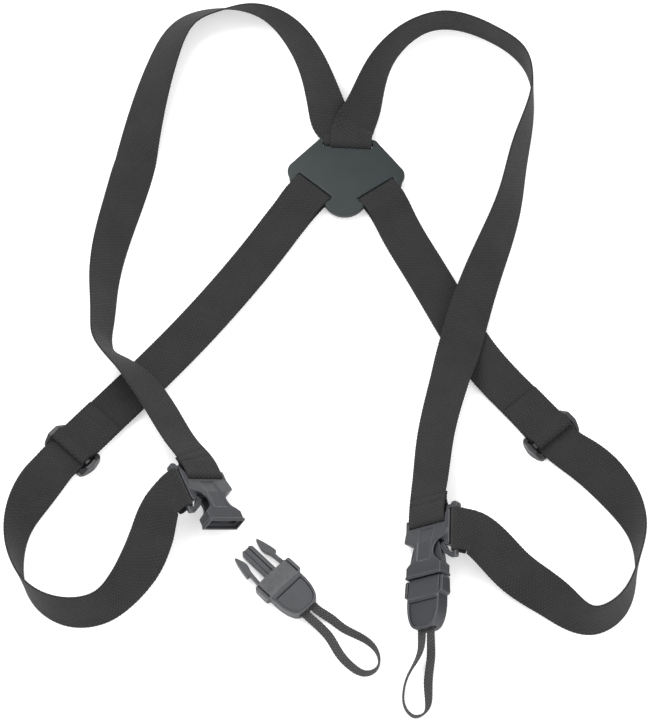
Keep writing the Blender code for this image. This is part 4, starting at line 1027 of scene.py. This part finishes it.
def taper(flip, sink, half_wide, back, front, end):
    """The block that slopes a socket from its mouth to its bars, above (1) or below (-1) it."""
    low = BAR_THICK / 2 - sink
    edge = [(back, MOUTH_HALF_HIGH + TAPER_LIFT - sink), (TAPER_KNEE[0], TAPER_KNEE[1] - sink),
            (front, low), (end, low), (end, CUTTER_REACH), (back, CUTTER_REACH)]
    outline = [(y, flip * z) for y, z in edge]
    return prism(outline if flip > 0 else outline[::-1], half_wide)


def make_socket(side_name, place, side, look):
    """The buckle's socket. Its side bar is at +X when side is 1 and at -X when it is -1."""
    half = ([(0, 0), (MOUTH_HALF_WIDE, 0)] + rounded(SOCKET_WAIST)
            + [(FLANK_X, SOCKET_FRONT), (0, SOCKET_FRONT)])
    rim = box_outline(-MOUTH_HALF_WIDE - RIM_PROUD, MOUTH_HALF_WIDE + RIM_PROUD, 0, RIM_LONG)
    shell = [level_slab(mirrored(half), MOUTH_HALF_HIGH), level_slab(rim, MOUTH_HALF_HIGH + RIM_THICK)]
    cutters = [taper(flip, *shape) for shape in (TAPER, PANEL) for flip in (-1, 1)]
    room = TOP_BAR_Y - TOP_BAR_WIDE / 2 - SLOT_WIDE
    for half_wide, back, end, half_high in ((TOP_SLOT_HALF, room, BEYOND, CUTTER_REACH),
                                            (CAVITY_HALF_WIDE, -1, CAVITY_DEEP, CAVITY_HALF_HIGH),
                                            (WINDOW_HALF_WIDE, MOUTH_LONG, WINDOW_FRONT, CAVITY_HALF_HIGH),
                                            (FLARE_HALF_WIDE, -1, FLARE_DEEP, FLARE_HALF_HIGH)):
        cutters.append(level_slab(box_outline(-half_wide, half_wide, back, end), half_high))
    bars = []
    for outline, half_high in ((UPPER_ARM, SIDE_LOOP_HALF_HIGH), (LOWER_ARM, SIDE_LOOP_HALF_HIGH),
                               (rounded(BAND), BAND_HALF_HIGH), (rounded(KNOB)[::-1], KNOB_HALF_HIGH)):
        bars.append(level_slab(outline if side > 0 else flipped(outline), half_high))
    reach = (SIDE_BAR_FRONT - SIDE_BAR_BACK) / 2
    bars += [rod((0, TOP_BAR_Y), 0, TOP_SLOT_HALF + BAR_ROOT, BAR_THICK, TOP_BAR_WIDE),
             rod((side * SIDE_BAR_X, SIDE_BAR_BACK + reach), 90, reach, BAR_THICK, BAR_THICK)]
    piece = moulded("socket_" + side_name, shell, cutters, look, place_matrix(place), voxel=0.3,
                    rounds=3, more=bars)
    return finish_piece(piece, "harness", "moulded_plastic", "buckle_socket_" + side_name)


def make_plug(side_name, matrix, look):
    """The plug's body: collar, grooved tongue, ribs and a pocket for the cord's ends."""
    solids = [level_slab(mirrored(rounded(PLUG_FLANK) + COLLAR), PLUG_HALF_HIGH)]
    tongue = [(0, -2)] + TONGUE + [(0, TONGUE_LONG)]
    more = [slab(mirrored(tongue), -TONGUE_HALF_HIGH, GROOVE_FLOOR)]
    wall = [(GROOVE_HALF_WIDE, -2)] + TONGUE + [(GROOVE_HALF_WIDE, TONGUE_LONG)]
    for outline in (wall, flipped(wall)):
        more.append(slab(outline, GROOVE_FLOOR - WALL_ROOT, TONGUE_HALF_HIGH))
    for flip in (-1, 1):
        height = flip * (PLUG_HALF_HIGH - RIB_SINK)
        more.append(rod((0, RIB_Y), 0, RIB_HALF_LONG, RIB_THICK, RIB_WIDE, height))
    cutters = [slab(mirrored(rounded(POCKET)), POCKET_FLOOR, CUTTER_REACH),
               slab(box_outline(-CORD_SLOT_HALF, CORD_SLOT_HALF, PLUG_END - 2, CORD_SLOT_FRONT),
                    *CORD_SLOT_HEIGHTS)]
    for flip in (-1, 1):
        slope = [(y, flip * z) for y, z in COLLAR_SLOPE]
        cutters.append(prism(slope if flip > 0 else slope[::-1], COLLAR_SLOPE_REACH))
    notch = box_outline(*COLLAR_NOTCH)
    cutters += [slab(outline, NOTCH_FLOOR, CUTTER_REACH) for outline in (flipped(notch), notch)]
    plug = moulded("plug_" + side_name, solids, cutters, look, matrix, voxel=0.27, rounds=3, more=more)
    return finish_piece(plug, "plug_" + side_name, "moulded_plastic", "buckle_plug_" + side_name)


def make_cover(side_name, matrix, look):
    """The shield-shaped panel over the cord's ends."""
    panel = slab(mirrored(rounded(COVER_EDGE)), COVER_FLOOR, PLUG_HALF_HIGH - COVER_SINK)
    cover = moulded("shield_" + side_name, [panel], [], look, matrix, voxel=0.25, rounds=2)
    return finish_piece(cover, "plug_" + side_name, "moulded_plastic", "plug_cover_" + side_name)


def make_prong(side_name, prong_name, matrix, side, look):
    """One springy prong: a thin arm and a leaf-shaped barb with a square shoulder."""
    outline = [(x - PRONG_ROOT_X, y) for x, y in ARM + rounded(BARB_OUTSIDE, 3) + rounded(BARB_INSIDE, 3)]
    solid = level_slab(outline if side > 0 else flipped(outline), PRONG_HALF_HIGH)
    root = matrix @ Matrix.Translation((side * PRONG_ROOT_X, 0, 0))
    piece = moulded(f"barb_{side_name}_{prong_name}", [solid], [], look, root, voxel=0.2, rounds=3)
    body = f"prong_{side_name}_{prong_name}"
    return finish_piece(piece, body, "moulded_plastic", body)


def socket_bars(matrix, side):
    """The socket's two strap bars: middle and axis, and for the upper one also the way out."""
    turn = matrix.to_3x3()
    top = (matrix @ Vector((0, TOP_BAR_Y, 0)), turn @ Vector((-1, 0, 0)), turn @ Vector((0, 1, 0)))
    flank = (matrix @ Vector((side * SIDE_BAR_X, SIDE_BAR_Y, 0)), turn @ Vector((0, side, 0)))
    return top, flank


# ---- the straps of each side --------------------------------------------------------------------

def make_side_strap(side_name, route, side, flank, adjuster_place, looks):
    """The running layer, the return layer, and the stitching at the buckle."""
    turn = yoke_matrix().to_3x3()
    middle, axis, out = yoke_side_bar_frame(side)
    yoke_bar = Bar(yoke_matrix() @ middle, turn @ axis, turn @ out, YOKE_THICK, YOKE_SIDE_BAR_WIDE,
                   SIDE_STRAIGHT, SIDE_SETTLE)
    end = Vector((*route[-1][:2], FLANK_END_HIGH)) + PLAN_SHIFT
    flank_bar = Bar(*flank, end - flank[0], BAR_THICK, BAR_THICK, END_STRAIGHT, END_SETTLE,
                    SIDE_END_ROLL[side])
    run = Strap(route, STRAP_WIDTH, STRAP_THICK, yoke_bar, flank_bar)
    add_strap("side_webbing_" + side_name, run.solid_rows(STUB_LONG, SIDE_END_TAB), looks["webbing"],
              "side_strap_" + side_name)
    matrix = place_matrix(adjuster_place)
    nearest = min(range(len(run.middles)), key=lambda i: (run.middles[i] - matrix.translation).xy.length)
    split = run.spots[nearest] - END_LOOP_LONG + RETURN_LAP
    start = max(s for s in run.spots if s <= STUB_LONG) + SEAM
    count = int((split - start) / STEP)
    rows = []
    for k in range(count + 1):
        where = start + (split - start) * k / count
        place, across, normal = run.row_at(where)
        rows.append((place + normal * run.first.fold_distance(where), across, normal))
    piece = add_strap("return_webbing_" + side_name, rows, looks["webbing"], "return_layer_" + side_name)
    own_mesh(piece)
    add_end_tack("side", side_name, run, SIDE_TACK, looks["thread"])


def make_end_loop(side_name, adjuster_place, looks):
    """The strap's sewn end, folded round the adjuster's centre bar. It slides with the adjuster."""
    matrix = place_matrix(adjuster_place)
    turn = matrix.to_3x3()
    across, ahead, up = turn @ Vector((-1, 0, 0)), turn @ Vector((0, 1, 0)), Vector((0, 0, 1))
    radius = CENTRE_BAR_THICK / 2 + GAP + STRAP_THICK / 2
    flat = (CENTRE_BAR_WIDE - CENTRE_BAR_THICK) / 2
    low = CENTRE_BAR_MIDDLE - radius

    def top(away):
        """Height of the upper layer's middle."""
        return low + LAYER + (2 * radius - LAYER) * (1.0 - ease((away - END_LOOP_STRAIGHT) / END_LOOP_SETTLE))

    def surface(u, v):
        """A place on the upper layer and its normal."""
        return matrix @ Vector((u, v, top(v) + STRAP_THICK / 2)), up

    rows = []
    count = int(END_LOOP_SHORT / STEP)
    for k in range(count):
        rows.append((matrix @ Vector((0, END_LOOP_SHORT * (1 - k / count), low)), across, -up))
    for k in range(TURN_STEPS + 1):
        angle = math.pi * k / TURN_STEPS
        spot = Vector((0, -flat - radius * math.sin(angle), CENTRE_BAR_MIDDLE - radius * math.cos(angle)))
        rows.append((matrix @ spot, across, -up * math.cos(angle) - ahead * math.sin(angle)))
    count = int(END_LOOP_LONG / STEP)
    for k in range(1, count + 1):
        away = END_LOOP_LONG * k / count
        rise = (top(away + SLOPE_REACH) - top(away - SLOPE_REACH)) / (2 * SLOPE_REACH)
        slope = Vector((0, 1, rise)).normalized()
        rows.append((matrix @ Vector((0, away, top(away))), across, turn @ Vector((0, -slope.z, slope.y))))
    body = "adjuster_" + side_name
    add_strap("end_webbing_" + side_name, rows, looks["webbing"], "sewn_end_" + side_name, body)
    add_tack("adjuster", side_name, body, *ADJUSTER_TACK, surface, looks["thread"])


def make_shoulder_strap(side_name, route, side, top, looks):
    """A shoulder strap from the yoke's upper bar to the socket's upper bar, with its stitching."""
    yoke = yoke_matrix()
    turn = yoke.to_3x3()
    first = Bar(yoke @ Vector((side * SHOULDER_OFFSET, YOKE_TOP_BAR_Y, 0)), turn @ Vector((-1, 0, 0)),
                turn @ Vector((0, 1, 0)), YOKE_THICK, YOKE_TOP_BAR_WIDE, SHOULDER_STRAIGHT,
                SHOULDER_SETTLE, above=True, layer=0 if side < 0 else 1)
    last = Bar(*top, BAR_THICK, TOP_BAR_WIDE, END_STRAIGHT, END_SETTLE, SHOULDER_END_ROLL[side])
    strap = Strap(route, STRAP_WIDTH, STRAP_THICK, first, last)
    rows = strap.solid_rows(SHOULDER_TAB[side], SHOULDER_END_TAB)
    start = rows_length(strap.folded_end(first, True, SHOULDER_TAB[side]))
    creases = [start + strap.spots[-1] - away for away in SHOULDER_END_CREASES]
    if side > 0:
        creases.append(start + SHOULDER_CREASE)
    add_strap("shoulder_webbing_" + side_name, rows, looks["webbing"], "shoulder_strap_" + side_name,
              creases=creases)
    add_end_tack("shoulder", side_name, strap, SHOULDER_TACK, looks["thread"])


def make_cord(side_name, route, matrix, look):
    """A flat braided cord that leaves the plug and comes back to it."""
    legs = []
    for side in (-1, 1):
        legs.append([matrix @ Vector((side * CORD_OFFSET, y, CORD_LEVEL)) - PLAN_SHIFT
                     for y in CORD_LEG])
    ends = []
    for leg, roll in zip((legs[0], reversed(legs[1])), CORD_END_ROLLS[side_name]):
        height = resting_height(math.radians(roll), CORD_WIDTH, CORD_THICK)
        ends.append([(spot.x, spot.y, spot.z - height, roll) for spot in leg])
    cord = Strap(ends[0] + route + ends[1], CORD_WIDTH, CORD_THICK)
    piece = add_woven("loop_" + side_name, cord.rows, CORD_WIDTH, CORD_THICK, look, CORD_COLUMNS,
                      CORD_PITCH, CORD_RELIEF)
    finish_piece(piece, "plug_" + side_name, "cord", "cord_loop_" + side_name)
    path = [tuple(place * MM) for place, _, _ in cord.rows[::PATH_EVERY]] + [tuple(cord.rows[-1][0] * MM)]
    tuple(path[0])
    rows_length(cord.rows) * MM


# ---- camera, light and table --------------------------------------------------------------------

def add_camera():
    """The camera, high in front of the harness."""
    data = bpy.data.cameras.new("camera")
    data.lens = CAMERA_LENS
    data.sensor_width = CAMERA_SENSOR
    camera = add_object("camera", data)
    slope = math.radians(CAMERA_ELEVATION)
    back = Vector((0.0, -math.cos(slope), math.sin(slope)))
    camera.location = (PLAN_SHIFT + back * CAMERA_DISTANCE) * MM
    face(camera, -back)
    bpy.context.scene.camera = camera


def face(made, direction):
    """Turn a camera or a light to look along a direction."""
    made.rotation_mode = "QUATERNION"
    made.rotation_quaternion = direction.to_track_quat("-Z", "Y")


def add_area_light(name, place, size, power):
    """A soft square light that faces the middle of the table."""
    data = bpy.data.lights.new(name, "AREA")
    data.size = size
    data.energy = power
    light = add_object(name, data)
    light.location = place
    face(light, -Vector(place))


def add_surroundings():
    """A pale table, an even white sky and three soft lights."""
    corners = box_outline(-TABLE_HALF, TABLE_HALF, -TABLE_HALF, TABLE_HALF)
    table = add_mesh("table", [(x, y, TABLE_TOP) for x, y in corners], [(0, 1, 2, 3)], floor_material())
    world = bpy.data.worlds.new("studio")
    world.use_nodes = True
    sky = world.node_tree.nodes["Background"]
    fill(world.node_tree, sky, [("Color", (1.0, 1.0, 1.0, 1.0)), ("Strength", SKY_STRENGTH)])
    bpy.context.scene.world = world
    bpy.context.scene.view_settings.view_transform = "Standard"
    for light in LIGHTS:
        add_area_light(*light)


# ---- the whole harness --------------------------------------------------------------------------

def build():
    """Build every piece."""
    looks = {
        "webbing": woven_material("webbing", STRAP_WIDTH, STRAP_THICK, STRAP_COLUMNS, STRAP_PITCH,
                                  *WEBBING_SHADES),
        "cord": woven_material("cord", CORD_WIDTH, CORD_THICK, CORD_COLUMNS, CORD_PITCH, *CORD_SHADES),
        "thread": thread_material(),
        "crimp": crimp_material(),
    }
    for name, plastic in PLASTICS.items():
        looks[name] = plastic_material(name + "_plastic", *plastic)
    plugs = {"left": place_matrix(PLUG_LEFT),
             "right": place_matrix(SOCKET_RIGHT) @ Matrix.Translation((0, -MATED_GAP, 0))}
    make_cord("left", CORD_LEFT_ROUTE, plugs["left"], looks["cord"])
    make_cord("right", CORD_RIGHT_ROUTE, plugs["right"], looks["cord"])
    make_yoke(looks["yoke"])
    sides = (("left", -1, SOCKET_LEFT, ADJUSTER_LEFT, SHOULDER_LEFT_ROUTE, SIDE_LEFT_ROUTE),
             ("right", 1, SOCKET_RIGHT, ADJUSTER_RIGHT, SHOULDER_RIGHT_ROUTE, SIDE_RIGHT_ROUTE))
    for name, side, socket, adjuster, shoulder_route, side_route in sides:
        make_socket(name, socket, side, looks["moulded"])
        make_plug(name, plugs[name], looks["moulded"])
        make_cover(name, plugs[name], looks["moulded"])
        for prong_side, prong_name in ((-1, "outer"), (1, "inner")):
            make_prong(name, prong_name, plugs[name], prong_side, looks["moulded"])
        make_adjuster(name, side, adjuster, looks["adjuster"])
        top, flank = socket_bars(place_matrix(socket), side)
        make_shoulder_strap(name, shoulder_route, side, top, looks)
        make_side_strap(name, side_route, side, flank, adjuster, looks)
        make_end_loop(name, adjuster, looks)
        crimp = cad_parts["cord_crimp_" + name]
        crimp.data.materials.clear()
        crimp.data.materials.append(looks["crimp"])


add_camera()
add_surroundings()
build()
